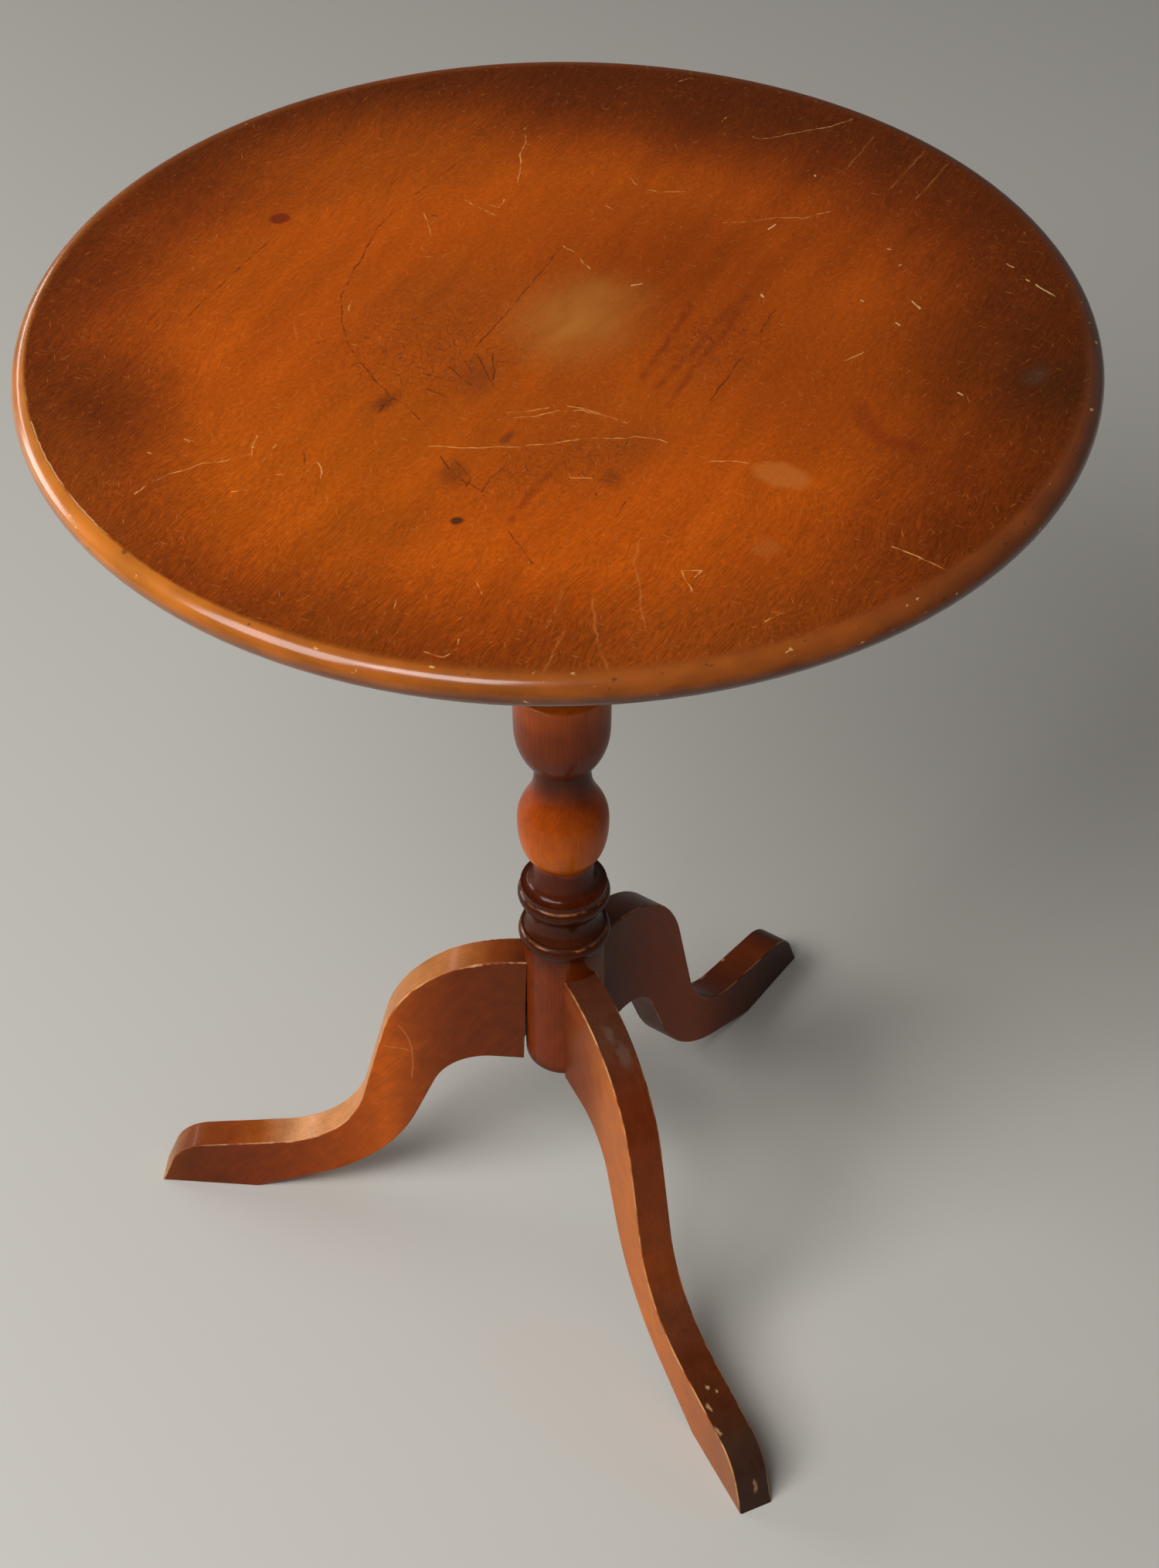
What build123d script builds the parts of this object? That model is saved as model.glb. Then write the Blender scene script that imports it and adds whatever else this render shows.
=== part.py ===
from build123d import *
from math import atan, cos, degrees, radians, sin, tan
import os

os.makedirs("parts", exist_ok=True)

# Tilt top table: a round top that tips on a square block, on a turned column with three sawn legs.
# Millimetres, +Z up. The origin is on the floor, under the column's axis. The hinge lies along X on the
# -Y side of the block, the catch is on the +Y side, and the front leg points along -Y.

# ---- table ----
table_height = 696.0  # floor to the top's upper face
top_radius = 280.0
top_thickness = 18.0
nose_depth = 7.0  # how far the rounded edge stands out from the flat faces

# ---- legs: flat boards sawn to an S, each outline a chain of straight runs and tangent arcs ----
front_leg_angle = -90.0
leg_spread_angle = 360 / 3
leg_angles = {
    "front": front_leg_angle,
    "rear_left": front_leg_angle - leg_spread_angle,
    "rear_right": front_leg_angle + leg_spread_angle,
}
leg_reach = 274.0  # column's axis to the tip of the toe
leg_thickness = 22.0
leg_top = 233.0  # height of the upper edge at the column
leg_joint_height = 88.0
knee_radius = 94.0
shin_angle = 76.0  # slope of the straight run below the knee
instep_radius = 70.0
foot_slope = 9.0
toe_radius = 30.0
toe_angle = 68.0
toe_tip_height = 20.0  # height at which the toe's curve ends
calf_start = 20.0  # straight run of the underside, out from the barrel
calf_radius = 42.0
calf_angle = 68.0
arch_radius = 119.0
heel_angle = 22.0  # slope with which the underside comes down to the sole
sole_length = 65.0
leg_edge_round = 1.2
opened_joint = 3.0  # gap at the bottom of the rear left leg's joint, which has worked loose

# ---- dowels of the leg joints ----
dowel_radius = 5.0
dowel_in_column = 20.0
dowel_in_leg = 30.0
dowel_lift = 31.0  # lower dowel, above the underside of the joint
dowel_spacing = 32.0
dowel_chamfer = 1.0
glue_gap = 0.05  # clearance all round in a glued or screwed joint
hole_relief = 1.0  # how much deeper a blind hole is than what it holds

# ---- column: turned elements, from the lowest to the tenon ----
barrel_radius = 25.2
barrel_lift = 1.5  # lower end of the barrel, above the underside of the legs
barrel_round = 4.0
barrel_collar = 18.0  # bare barrel between the legs and the lower ring
ring_radius = 28.3
ring_height = 9.6
ring_inset = 1.9  # how far a ring's upper side falls back
lower_quirk = 2.2  # small square step on the lower ring
cove_edge = 25.0
cove_radius = 21.5
cove_height = 20.4
upper_quirk = 4.2
flare_height = 14.5
waist_radius = 18.3
waist_height = 6.5
bulb_radius = 27.6
bulb_swell = 8.0  # how sharply the bulb starts from the waist
bulb_low = 31.0  # waist to the widest point
bulb_high = 40.0  # widest point to the neck
bulb_shoulder = 18.0
neck_sweep = 23.0
neck_radius = 16.9
neck_height = 7.3
cup_foot_radius = 19.7
cup_radius = 28.5
cup_swell = 11.2
cup_bowl_height = 27.7
cup_wall_height = 31.5
cup_lip_radius = 28.9
cup_lip_round = 1.5
bead_radius = 21.0
bead_height = 6.0
shaft_flare = 9.0
shaft_foot_radius = 16.5
shaft_head_radius = 14.0
astragal_radius = 18.0
astragal_height = 5.0
capital_neck = 9.0
capital_radius = 25.0
capital_height = 12.0
abacus_height = 6.0
tenon_radius = 12.0
tenon_short = 0.5  # tenon's end, below the block's upper face

# ---- wedge that spreads the tenon in the block ----
wedge_length = 24.0
wedge_thickness = 2.4
wedge_tip = 0.8

# ---- pivot block ----
block_width = 104.0
block_depth = 104.0
block_thickness = 30.0
block_chamfer = 5.0
block_gap = 0.3  # block to the underside of the top

# ---- battens under the top, one on each side of the block ----
batten_width = 22.0
batten_height = 28.0
batten_length = 420.0
batten_gap = 0.5  # batten to block
batten_end_height = 11.0
batten_taper = 55.0
batten_edge_round = 1.5

# ---- pivots ----
pivot_setback = 15.0  # axis to the block's upper face and to its -Y face
pivot_radius = 3.5
pivot_clearance = 0.05
pivot_thread_radius = 2.9
pivot_in_block = 30.0
pivot_shank_in_block = 6.0
pivot_head_radius = 6.5
pivot_head_height = 3.6
pivot_slot_width = 1.5
pivot_slot_depth = 1.7
washer_radius = 9.0
washer_thickness = 1.5
washer_bore_gap = 0.2
washer_play = 0.1  # washer to batten

# ---- wood screws ----
batten_screw_spots = (-165.0, 60.0, 165.0)  # along each batten
batten_screw_seat = 14.0  # wood between the screw's head and the top
batten_screw_bite = 12.0  # how far the screw goes into the top
counterbore_radius = 5.0
screw_radius = 2.1
screw_head_radius = 4.2
screw_head_height = 2.6
screw_slot_width = 0.9
screw_slot_depth = 1.1
small_screw_radius = 1.5
small_head_radius = 3.0
small_head_height = 1.8
small_slot_width = 0.7
small_slot_depth = 0.8
catch_screw_length = 12.0
strike_screw_length = 16.0
plate_screw_inset = 5.0  # from the edge of the catch plate and of the strike plate
slot_turn = 50.0  # each screw's slot stands at another angle

# ---- catch under the top, with its bolt drawn back ----
catch_travel = 4.5
catch_plate_width = 36.0
catch_plate_length = 40.0
catch_plate_thickness = 1.6
catch_plate_corner = 3.0
housing_width = 19.0
housing_height = 12.0
housing_length = 34.0
housing_setback = 3.0  # from the front edge of the catch plate
housing_wall = 1.5
housing_corner = 1.0
bolt_width = 10.0
bolt_height = 6.0
bolt_length = 26.0
bolt_bevel = 3.5
bolt_clearance = 0.3
bolt_nose_gap = 0.9  # drawn bolt to the strike plate
rod_radius = 1.8
rod_clearance = 0.05
rod_reach = 1.0  # rod's end beyond the housing when the bolt is shot
stem_setback = 15.0  # from the bolt's nose
stem_radius = 2.0
stem_in_bolt = 3.0
knob_gap = 0.8  # knob to housing
knob_radius = 5.0
knob_collar_radius = 3.2
knob_collar_height = 2.0
knob_length = 10.0
spring_wire = 0.35  # radius of the wire
spring_radius = 3.2  # coil's axis to the middle of the wire
spring_turns = 6
spring_end_gap = 0.15

# ---- strike plate on the block's +Y face ----
strike_width = 34.0
strike_height = 22.0
strike_thickness = 1.5
strike_corner = 2.0
strike_drop = 0.8  # strike's upper edge, below the block's upper face
mortise_depth = 6.0
mortise_margin = 0.6  # round the bolt

# ---- levels, from the floor ----
top_under = table_height - top_thickness
block_top = top_under - block_gap
block_under = block_top - block_thickness
leg_under = leg_top - leg_joint_height
barrel_foot = leg_under + barrel_lift
barrel_top = leg_top + barrel_collar
lower_step = barrel_top + ring_height
cove_foot = lower_step + lower_quirk
cove_top = cove_foot + cove_height
upper_step = cove_top + ring_height
flare_foot = upper_step + upper_quirk
waist_foot = flare_foot + flare_height
bulb_foot = waist_foot + waist_height
bulb_widest = bulb_foot + bulb_low
neck_foot = bulb_widest + bulb_high
cup_foot = neck_foot + neck_height
cup_turn = cup_foot + cup_bowl_height
cup_lip = cup_turn + cup_wall_height
shaft_foot = cup_lip + bead_height
abacus_foot = block_under - abacus_height
capital_foot = abacus_foot - capital_height
astragal_foot = capital_foot - capital_neck - astragal_height
tenon_top = block_top - tenon_short
batten_screw_level = top_under - batten_screw_seat
catch_plate_under = top_under - catch_plate_thickness
housing_under = catch_plate_under - housing_height
catch_level = catch_plate_under - housing_height / 2  # axis of the bolt
strike_level = block_top - strike_drop - strike_height / 2  # middle of the strike plate

# ---- places along X and Y ----
leg_root = barrel_radius - leg_thickness / 2  # where a leg's board starts, before it is coped to the barrel
batten_inner = block_width / 2 + batten_gap
batten_outer = batten_inner + batten_width
batten_middle = batten_inner + batten_width / 2
washer_inner = batten_outer + washer_play
washer_outer = washer_inner + washer_thickness
block_face = block_depth / 2
strike_face = block_face + strike_thickness
bolt_nose = strike_face + bolt_nose_gap
bolt_tail = bolt_nose + bolt_length
catch_plate_front = bolt_nose
housing_front = catch_plate_front + housing_setback
housing_back = housing_front + housing_length
rod_end = housing_back + rod_reach + catch_travel
stem_place = bolt_nose + stem_setback
pivot_place = pivot_setback - block_face
pivot_level = block_top - pivot_setback

quarter_turn = 90.0  # degrees
pieces = {}  # every finished piece by its name


def radial_plane(angle, radius):
    """Plane that faces outwards at this angle round the column, with its own Y upwards."""
    outwards = Vector(1, 0, 0).rotate(Axis.Z, angle)
    return Plane(origin=outwards * radius, x_dir=Vector(0, 1, 0).rotate(Axis.Z, angle), z_dir=outwards)


def leg_plane(angle):
    """Upright plane through the column's axis, with its own X outwards along a leg."""
    outwards = Vector(1, 0, 0).rotate(Axis.Z, angle)
    return Plane(origin=(0, 0, 0), x_dir=outwards, z_dir=outwards.rotate(Axis.Z, -quarter_turn))


def turn(radius, start_angle, end_angle):
    """How far an arc goes while its direction turns from one angle to the other."""
    side = 1 if end_angle > start_angle else -1
    start = radians(start_angle)
    end = radians(end_angle)
    return Vector(sin(end) - sin(start), cos(start) - cos(end)) * radius * side


def run_lengths(first_angle, second_angle, distance):
    """Lengths of the two straight runs, at these angles, that cover a distance together."""
    first = radians(first_angle)
    second = radians(second_angle)
    spread = sin(second - first)
    return (
        (distance.X * sin(second) - distance.Y * cos(second)) / spread,
        (distance.Y * cos(first) - distance.X * sin(first)) / spread,
    )


def screw_solid(length, radius, head_radius, head_height, gap=0.0):
    """Countersunk screw along -Z from the middle of its head, or the hole for it when there is a gap."""
    with BuildPart() as solid:
        with BuildSketch(Plane.XZ):
            with BuildLine():
                Polyline(
                    (0, 0),
                    (head_radius + gap, 0),
                    (radius + gap, -head_height),
                    (radius + gap, 2 * radius - length),
                    (0, -length),
                    close=True,
                )
            make_face()
        revolve(axis=Axis.Z)
    return solid.part


def wood_screw(length, radius, head_radius, head_height, slot_width, slot_depth):
    """Countersunk screw with a slot for the driver."""
    with BuildPart() as screw:
        add(screw_solid(length, radius, head_radius, head_height))
        with BuildSketch(Plane.XY):
            Rectangle(3 * head_radius, slot_width)
        extrude(amount=-slot_depth, mode=Mode.SUBTRACT)
    return screw.part


def screw_planes(points, direction):
    """Planes for screws whose heads face in this direction, each turned by another angle."""
    axis = Axis((0, 0, 0), direction)
    return [
        Plane(origin=point, x_dir=Vector(1, 0, 0).rotate(axis, slot_turn * number), z_dir=direction)
        for number, point in enumerate(points)
    ]


# ---- screws and the holes for them, used in the pieces below ----
batten_screw_length = batten_screw_seat + batten_screw_bite
large_head = (screw_radius, screw_head_radius, screw_head_height)
small_head = (small_screw_radius, small_head_radius, small_head_height)
batten_screw = wood_screw(batten_screw_length, *large_head, screw_slot_width, screw_slot_depth)
batten_screw_hole = screw_solid(batten_screw_length + hole_relief, *large_head, glue_gap)
catch_screw = wood_screw(catch_screw_length, *small_head, small_slot_width, small_slot_depth)
catch_screw_hole = screw_solid(catch_screw_length + hole_relief, *small_head, glue_gap)
strike_screw = wood_screw(strike_screw_length, *small_head, small_slot_width, small_slot_depth)
strike_screw_hole = screw_solid(strike_screw_length + hole_relief, *small_head, glue_gap)

batten_screw_places = {
    side: screw_planes([(x, y, batten_screw_level) for y in batten_screw_spots], (0, 0, -1))
    for side, x in (("left", -batten_middle), ("right", batten_middle))
}
catch_screw_places = screw_planes(
    [
        (x, y, catch_plate_under)
        for x in (plate_screw_inset - catch_plate_width / 2, catch_plate_width / 2 - plate_screw_inset)
        for y in (
            catch_plate_front + plate_screw_inset,
            catch_plate_front + catch_plate_length - plate_screw_inset,
        )
    ],
    (0, 0, -1),
)
strike_screw_places = screw_planes(
    [
        (plate_screw_inset - strike_width / 2, strike_face, strike_level),
        (strike_width / 2 - plate_screw_inset, strike_face, strike_level),
    ],
    (0, 1, 0),
)

# ---- top ----
top_flat_radius = top_radius - nose_depth
with BuildPart() as table_top:
    with BuildSketch(Plane.XZ):
        with BuildLine():
            Line((0, top_under), (top_flat_radius, top_under))
            ThreePointArc(
                (top_flat_radius, top_under),
                (top_radius, top_under + top_thickness / 2),
                (top_flat_radius, table_height),
            )
            Polyline((top_flat_radius, table_height), (0, table_height), (0, top_under))
        make_face()
    revolve(axis=Axis.Z)
    with Locations(*batten_screw_places["left"], *batten_screw_places["right"]):
        add(batten_screw_hole, mode=Mode.SUBTRACT)
    with Locations(*catch_screw_places):
        add(catch_screw_hole, mode=Mode.SUBTRACT)
pieces["table_top"] = table_top

# ---- battens and their screws ----
for side, start in (("left", -batten_outer), ("right", batten_inner)):
    with BuildPart() as batten:
        with BuildSketch(Plane.YZ.offset(start)):
            with BuildLine():
                Polyline(
                    (-batten_length / 2, top_under),
                    (batten_length / 2, top_under),
                    (batten_length / 2, top_under - batten_end_height),
                    (batten_length / 2 - batten_taper, top_under - batten_height),
                    (batten_taper - batten_length / 2, top_under - batten_height),
                    (-batten_length / 2, top_under - batten_end_height),
                    close=True,
                )
            make_face()
        extrude(amount=batten_width)
        side_edges = batten.faces().filter_by(Axis.X).edges()
        fillet(side_edges.group_by(Axis.Z)[:-1], batten_edge_round)
        with BuildSketch(Plane.YZ.offset(start)):
            with Locations((pivot_place, pivot_level)):
                Circle(pivot_radius + pivot_clearance)
        extrude(amount=batten_width, mode=Mode.SUBTRACT)
        with Locations(*batten_screw_places[side]):
            add(batten_screw_hole, mode=Mode.SUBTRACT)
            Cylinder(
                counterbore_radius,
                batten_height,
                align=(Align.CENTER, Align.CENTER, Align.MIN),
                mode=Mode.SUBTRACT,
            )
    pieces[f"batten_{side}"] = batten

    with BuildPart() as batten_screws:
        with Locations(*batten_screw_places[side]):
            add(batten_screw)
    pieces[f"batten_screws_{side}"] = batten_screws

# ---- pivot block ----
with BuildPart() as pivot_block:
    with BuildSketch(Plane.YZ):
        with BuildLine():
            Polyline(
                (pivot_place, block_top),
                (block_face, block_top),
                (block_face, block_under),
                (-block_face, block_under),
                (-block_face, pivot_level),
            )
            JernArc((-block_face, pivot_level), (0, 1), pivot_setback, -quarter_turn)
        make_face()
    extrude(amount=block_width / 2, both=True)
    chamfer(pivot_block.faces().sort_by(Axis.Z)[0].edges(), block_chamfer)
    with BuildSketch(Plane.XY.offset(block_under)):
        Circle(tenon_radius + glue_gap)
    extrude(amount=block_thickness, mode=Mode.SUBTRACT)
    with BuildSketch(Plane.XZ.offset(-block_face)):
        with Locations((0, catch_level)):
            Rectangle(bolt_width + 2 * mortise_margin, bolt_height + 2 * mortise_margin)
    extrude(amount=mortise_depth, mode=Mode.SUBTRACT)
    with Locations(*strike_screw_places):
        add(strike_screw_hole, mode=Mode.SUBTRACT)
    for sign in (-1, 1):
        shank_plane = Plane(origin=(sign * block_width / 2, pivot_place, pivot_level), z_dir=(-sign, 0, 0))
        with BuildSketch(shank_plane):
            Circle(pivot_radius + glue_gap)
        extrude(amount=pivot_shank_in_block + glue_gap, mode=Mode.SUBTRACT)
        with BuildSketch(shank_plane):
            Circle(pivot_thread_radius + glue_gap)
        extrude(amount=pivot_in_block + hole_relief, mode=Mode.SUBTRACT)
pieces["pivot_block"] = pivot_block

# ---- pivot screws and washers ----
for side, sign in (("left", -1), ("right", 1)):
    screw_plane = Plane(origin=(0, pivot_place, pivot_level), x_dir=(sign, 0, 0), z_dir=(0, -sign, 0))
    with BuildPart() as pivot_screw:
        with BuildSketch(screw_plane):
            with BuildLine():
                thread_end = block_width / 2 - pivot_in_block
                thread_start = block_width / 2 - pivot_shank_in_block
                Polyline(
                    (washer_outer + pivot_head_height, 0),
                    (thread_end, 0),
                    (thread_end + pivot_thread_radius, pivot_thread_radius),
                    (thread_start, pivot_thread_radius),
                    (thread_start, pivot_radius),
                    (washer_outer, pivot_radius),
                    (washer_outer, pivot_head_radius),
                )
                EllipticalCenterArc(
                    (washer_outer, 0), pivot_head_height, pivot_head_radius, arc_size=quarter_turn
                )
            make_face()
        revolve(axis=Axis((0, pivot_place, pivot_level), (1, 0, 0)))
        head_plane = Plane(
            origin=(sign * (washer_outer + pivot_head_height), pivot_place, pivot_level),
            x_dir=Vector(0, 0, 1).rotate(Axis.X, slot_turn * sign),
            z_dir=(-sign, 0, 0),
        )
        with BuildSketch(head_plane):
            Rectangle(3 * pivot_head_radius, pivot_slot_width)
        extrude(amount=pivot_slot_depth, mode=Mode.SUBTRACT)
    pieces[f"pivot_screw_{side}"] = pivot_screw

    with BuildPart() as pivot_washer:
        with BuildSketch(Plane(origin=(sign * washer_inner, pivot_place, pivot_level), z_dir=(sign, 0, 0))):
            Circle(washer_radius)
            Circle(pivot_radius + washer_bore_gap, mode=Mode.SUBTRACT)
        extrude(amount=washer_thickness)
    pieces[f"pivot_washer_{side}"] = pivot_washer


# ---- column ----
def wedge_section(gap):
    """Section of the tenon's wedge, or of the slot for it when there is a gap."""
    with BuildSketch(Plane.XZ) as section:
        with BuildLine():
            Polyline(
                (-wedge_thickness / 2 - gap, tenon_top),
                (wedge_thickness / 2 + gap, tenon_top),
                (wedge_tip / 2 + gap, tenon_top - wedge_length - gap),
                (-wedge_tip / 2 - gap, tenon_top - wedge_length - gap),
                close=True,
            )
        make_face()
    return section.sketch


with BuildPart() as column:
    with BuildSketch(Plane.XZ):
        with BuildLine():
            # barrel and lower ring
            barrel_end = Line((0, barrel_foot), (barrel_radius - barrel_round, barrel_foot))
            JernArc(barrel_end @ 1, barrel_end % 1, barrel_round, quarter_turn)
            Line((barrel_radius, barrel_foot + barrel_round), (barrel_radius, barrel_top))
            ThreePointArc(
                (barrel_radius, barrel_top),
                (ring_radius, barrel_top + ring_height / 2),
                (ring_radius - ring_inset, lower_step),
            )
            Polyline(
                (ring_radius - ring_inset, lower_step),
                (ring_radius - ring_inset, cove_foot),
                (cove_edge, cove_foot),
            )
            # cove and upper ring
            ThreePointArc(
                (cove_edge, cove_foot),
                (cove_radius, cove_foot + cove_height / 2),
                (cove_edge, cove_top),
            )
            ThreePointArc(
                (cove_edge, cove_top),
                (ring_radius, cove_top + ring_height / 2),
                (ring_radius - ring_inset, upper_step),
            )
            Polyline(
                (ring_radius - ring_inset, upper_step),
                (ring_radius - ring_inset, flare_foot),
                (cove_edge, flare_foot),
            )
            # flare, waist and bulb
            Bezier((cove_edge, flare_foot), (waist_radius, flare_foot), (waist_radius, waist_foot))
            Line((waist_radius, waist_foot), (waist_radius, bulb_foot))
            Bezier(
                (waist_radius, bulb_foot),
                (bulb_radius, bulb_foot + bulb_swell),
                (bulb_radius, bulb_widest),
            )
            Bezier(
                (bulb_radius, bulb_widest),
                (bulb_radius, bulb_widest + bulb_shoulder),
                (neck_radius, neck_foot - neck_sweep),
                (neck_radius, neck_foot),
            )
            # neck and cup
            Polyline((neck_radius, neck_foot), (neck_radius, cup_foot), (cup_foot_radius, cup_foot))
            Bezier((cup_foot_radius, cup_foot), (cup_radius, cup_foot + cup_swell), (cup_radius, cup_turn))
            lip_wall = Line((cup_radius, cup_turn), (cup_lip_radius, cup_lip - cup_lip_round))
            JernArc(lip_wall @ 1, (0, 1), cup_lip_round, quarter_turn)
            bead_seat = bead_radius - bead_height / 2
            Line((cup_lip_radius - cup_lip_round, cup_lip), (bead_seat, cup_lip))
            # bead and shaft
            ThreePointArc(
                (bead_seat, cup_lip),
                (bead_radius, cup_lip + bead_height / 2),
                (bead_seat, shaft_foot),
            )
            Bezier(
                (bead_seat, shaft_foot),
                (shaft_foot_radius, shaft_foot),
                (shaft_foot_radius, shaft_foot + shaft_flare),
            )
            astragal_seat = astragal_radius - astragal_height / 2
            Polyline(
                (shaft_foot_radius, shaft_foot + shaft_flare),
                (shaft_head_radius, astragal_foot),
                (astragal_seat, astragal_foot),
            )
            # astragal, capital and tenon
            ThreePointArc(
                (astragal_seat, astragal_foot),
                (astragal_radius, astragal_foot + astragal_height / 2),
                (astragal_seat, astragal_foot + astragal_height),
            )
            Polyline(
                (astragal_seat, astragal_foot + astragal_height),
                (shaft_head_radius, astragal_foot + astragal_height),
                (shaft_head_radius, capital_foot),
            )
            Bezier(
                (shaft_head_radius, capital_foot),
                (shaft_head_radius, abacus_foot),
                (capital_radius, abacus_foot),
            )
            Polyline(
                (capital_radius, abacus_foot),
                (capital_radius, block_under),
                (tenon_radius, block_under),
                (tenon_radius, tenon_top),
                (0, tenon_top),
                (0, barrel_foot),
            )
        make_face()
    revolve(axis=Axis.Z)
    extrude(wedge_section(glue_gap), amount=2 * tenon_radius, both=True, mode=Mode.SUBTRACT)
    for angle in leg_angles.values():
        with BuildSketch(radial_plane(angle, barrel_radius - dowel_in_column - hole_relief)):
            with Locations((0, leg_under + dowel_lift), (0, leg_under + dowel_lift + dowel_spacing)):
                Circle(dowel_radius + glue_gap)
        extrude(amount=barrel_radius, mode=Mode.SUBTRACT)
pieces["column"] = column

# ---- wedge in the tenon ----
with BuildPart() as tenon_wedge:
    extrude(wedge_section(0), amount=tenon_radius, both=True)
    with BuildSketch(Plane.XY.offset(block_under)):
        Circle(tenon_radius)
    extrude(amount=block_thickness, mode=Mode.INTERSECT)
pieces["tenon_wedge"] = tenon_wedge

# ---- legs ----
upper_start = Vector(barrel_radius, leg_top)
upper_end = Vector(leg_reach - toe_tip_height / tan(radians(toe_angle)), toe_tip_height)
upper_arcs = (
    turn(knee_radius, 0, -shin_angle)
    + turn(instep_radius, -shin_angle, -foot_slope)
    + turn(toe_radius, -foot_slope, -toe_angle)
)
shin_length, foot_length = run_lengths(-shin_angle, -foot_slope, upper_end - upper_start - upper_arcs)
lower_start = Vector(barrel_radius + calf_start, leg_under)
lower_end = Vector(leg_reach - sole_length, 0)
lower_arcs = turn(calf_radius, 0, -calf_angle) + turn(arch_radius, -calf_angle, -heel_angle)
calf_length, heel_length = run_lengths(-calf_angle, -heel_angle, lower_end - lower_start - lower_arcs)
cope_margin = 10.0  # how far the coping cut runs past the joint at each end
print(f"leg runs: {shin_length:.1f}, {foot_length:.1f}, {calf_length:.1f}, {heel_length:.1f}")

for name, angle in leg_angles.items():
    with BuildPart() as leg:
        with BuildSketch(leg_plane(angle)):
            with BuildLine():
                top_edge = Line((leg_root, leg_top), upper_start)
                knee = JernArc(top_edge @ 1, top_edge % 1, knee_radius, -shin_angle)
                shin = PolarLine(knee @ 1, shin_length, -shin_angle)
                instep = JernArc(shin @ 1, shin % 1, instep_radius, shin_angle - foot_slope)
                foot = PolarLine(instep @ 1, foot_length, -foot_slope)
                toe = JernArc(foot @ 1, foot % 1, toe_radius, foot_slope - toe_angle)
                Line(toe @ 1, (leg_reach, 0))
                under_edge = Line((leg_root, leg_under), lower_start)
                calf = JernArc(under_edge @ 1, under_edge % 1, calf_radius, -calf_angle)
                back = PolarLine(calf @ 1, calf_length, -calf_angle)
                arch = JernArc(back @ 1, back % 1, arch_radius, calf_angle - heel_angle)
                heel = PolarLine(arch @ 1, heel_length, -heel_angle)
                Line(heel @ 1, (leg_reach, 0))
                Line((leg_root, leg_under), (leg_root, leg_top))
            make_face()
        extrude(amount=leg_thickness / 2, both=True)
        side_faces = leg.faces().filter_by(Axis((0, 0, 0), leg_plane(angle).z_dir))
        fillet(side_faces.edges(), leg_edge_round)

        # the end is coped to the barrel, and in the loose joint it leans away from it towards the bottom
        opening = opened_joint if name == "rear_left" else 0
        lean = degrees(atan(opening / leg_joint_height))
        down = Vector(0, 0, -1).rotate(Axis((0, 0, 0), leg_plane(angle).z_dir), lean)
        cope_plane = Plane(origin=(0, 0, leg_top), z_dir=down)
        with BuildSketch(cope_plane.offset(-cope_margin)):
            Circle(barrel_radius + glue_gap)
        extrude(amount=leg_joint_height + 2 * cope_margin, mode=Mode.SUBTRACT)
        with BuildSketch(radial_plane(angle, 0)):
            with Locations((0, leg_under + dowel_lift), (0, leg_under + dowel_lift + dowel_spacing)):
                Circle(dowel_radius + glue_gap)
        extrude(amount=barrel_radius + dowel_in_leg + hole_relief, mode=Mode.SUBTRACT)
    pieces[f"leg_{name}"] = leg

    with BuildPart() as dowels:
        with BuildSketch(radial_plane(angle, barrel_radius - dowel_in_column)):
            with Locations((0, leg_under + dowel_lift), (0, leg_under + dowel_lift + dowel_spacing)):
                Circle(dowel_radius)
        extrude(amount=dowel_in_column + dowel_in_leg)
        chamfer(dowels.edges().filter_by(GeomType.CIRCLE), dowel_chamfer)
    pieces[f"dowels_{name}"] = dowels

# ---- catch plate and its screws ----
with BuildPart() as catch_plate:
    with BuildSketch(Plane.XY.offset(catch_plate_under)):
        with Locations((0, catch_plate_front + catch_plate_length / 2)):
            RectangleRounded(catch_plate_width, catch_plate_length, catch_plate_corner)
    extrude(amount=catch_plate_thickness)
    with Locations(*catch_screw_places):
        add(catch_screw_hole, mode=Mode.SUBTRACT)
pieces["catch_plate"] = catch_plate

with BuildPart() as catch_screws:
    with Locations(*catch_screw_places):
        add(catch_screw)
pieces["catch_screws"] = catch_screws

# ---- catch housing: a channel, open towards the plate ----
housing_middle = (housing_front + housing_back) / 2
slot_front = stem_place - catch_travel - stem_radius - bolt_clearance
slot_back = stem_place + stem_radius + bolt_clearance
with BuildPart() as catch_housing:
    with BuildSketch(Plane.XY.offset(housing_under)):
        with Locations((0, housing_middle)):
            Rectangle(housing_width, housing_length)
    extrude(amount=housing_height)
    fillet(catch_housing.edges().filter_by(Axis.Z), housing_corner)
    with BuildSketch(Plane.XY.offset(housing_under + housing_wall)):
        with Locations((0, housing_middle)):
            Rectangle(housing_width - 2 * housing_wall, housing_length - 2 * housing_wall)
    extrude(amount=housing_height, mode=Mode.SUBTRACT)
    with BuildSketch(Plane.XZ.offset(-housing_front)):
        with Locations((0, catch_level)):
            Rectangle(bolt_width + 2 * bolt_clearance, bolt_height + 2 * bolt_clearance)
    extrude(amount=-housing_wall, mode=Mode.SUBTRACT)
    with BuildSketch(Plane.XZ.offset(-housing_back)):
        with Locations((0, catch_level)):
            Circle(rod_radius + rod_clearance)
    extrude(amount=housing_wall, mode=Mode.SUBTRACT)
    with BuildSketch(Plane.XY.offset(housing_under)):
        with Locations((0, (slot_front + slot_back) / 2)):
            SlotOverall(slot_back - slot_front, 2 * (stem_radius + bolt_clearance), rotation=quarter_turn)
    extrude(amount=housing_wall, mode=Mode.SUBTRACT)
pieces["catch_housing"] = catch_housing

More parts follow.
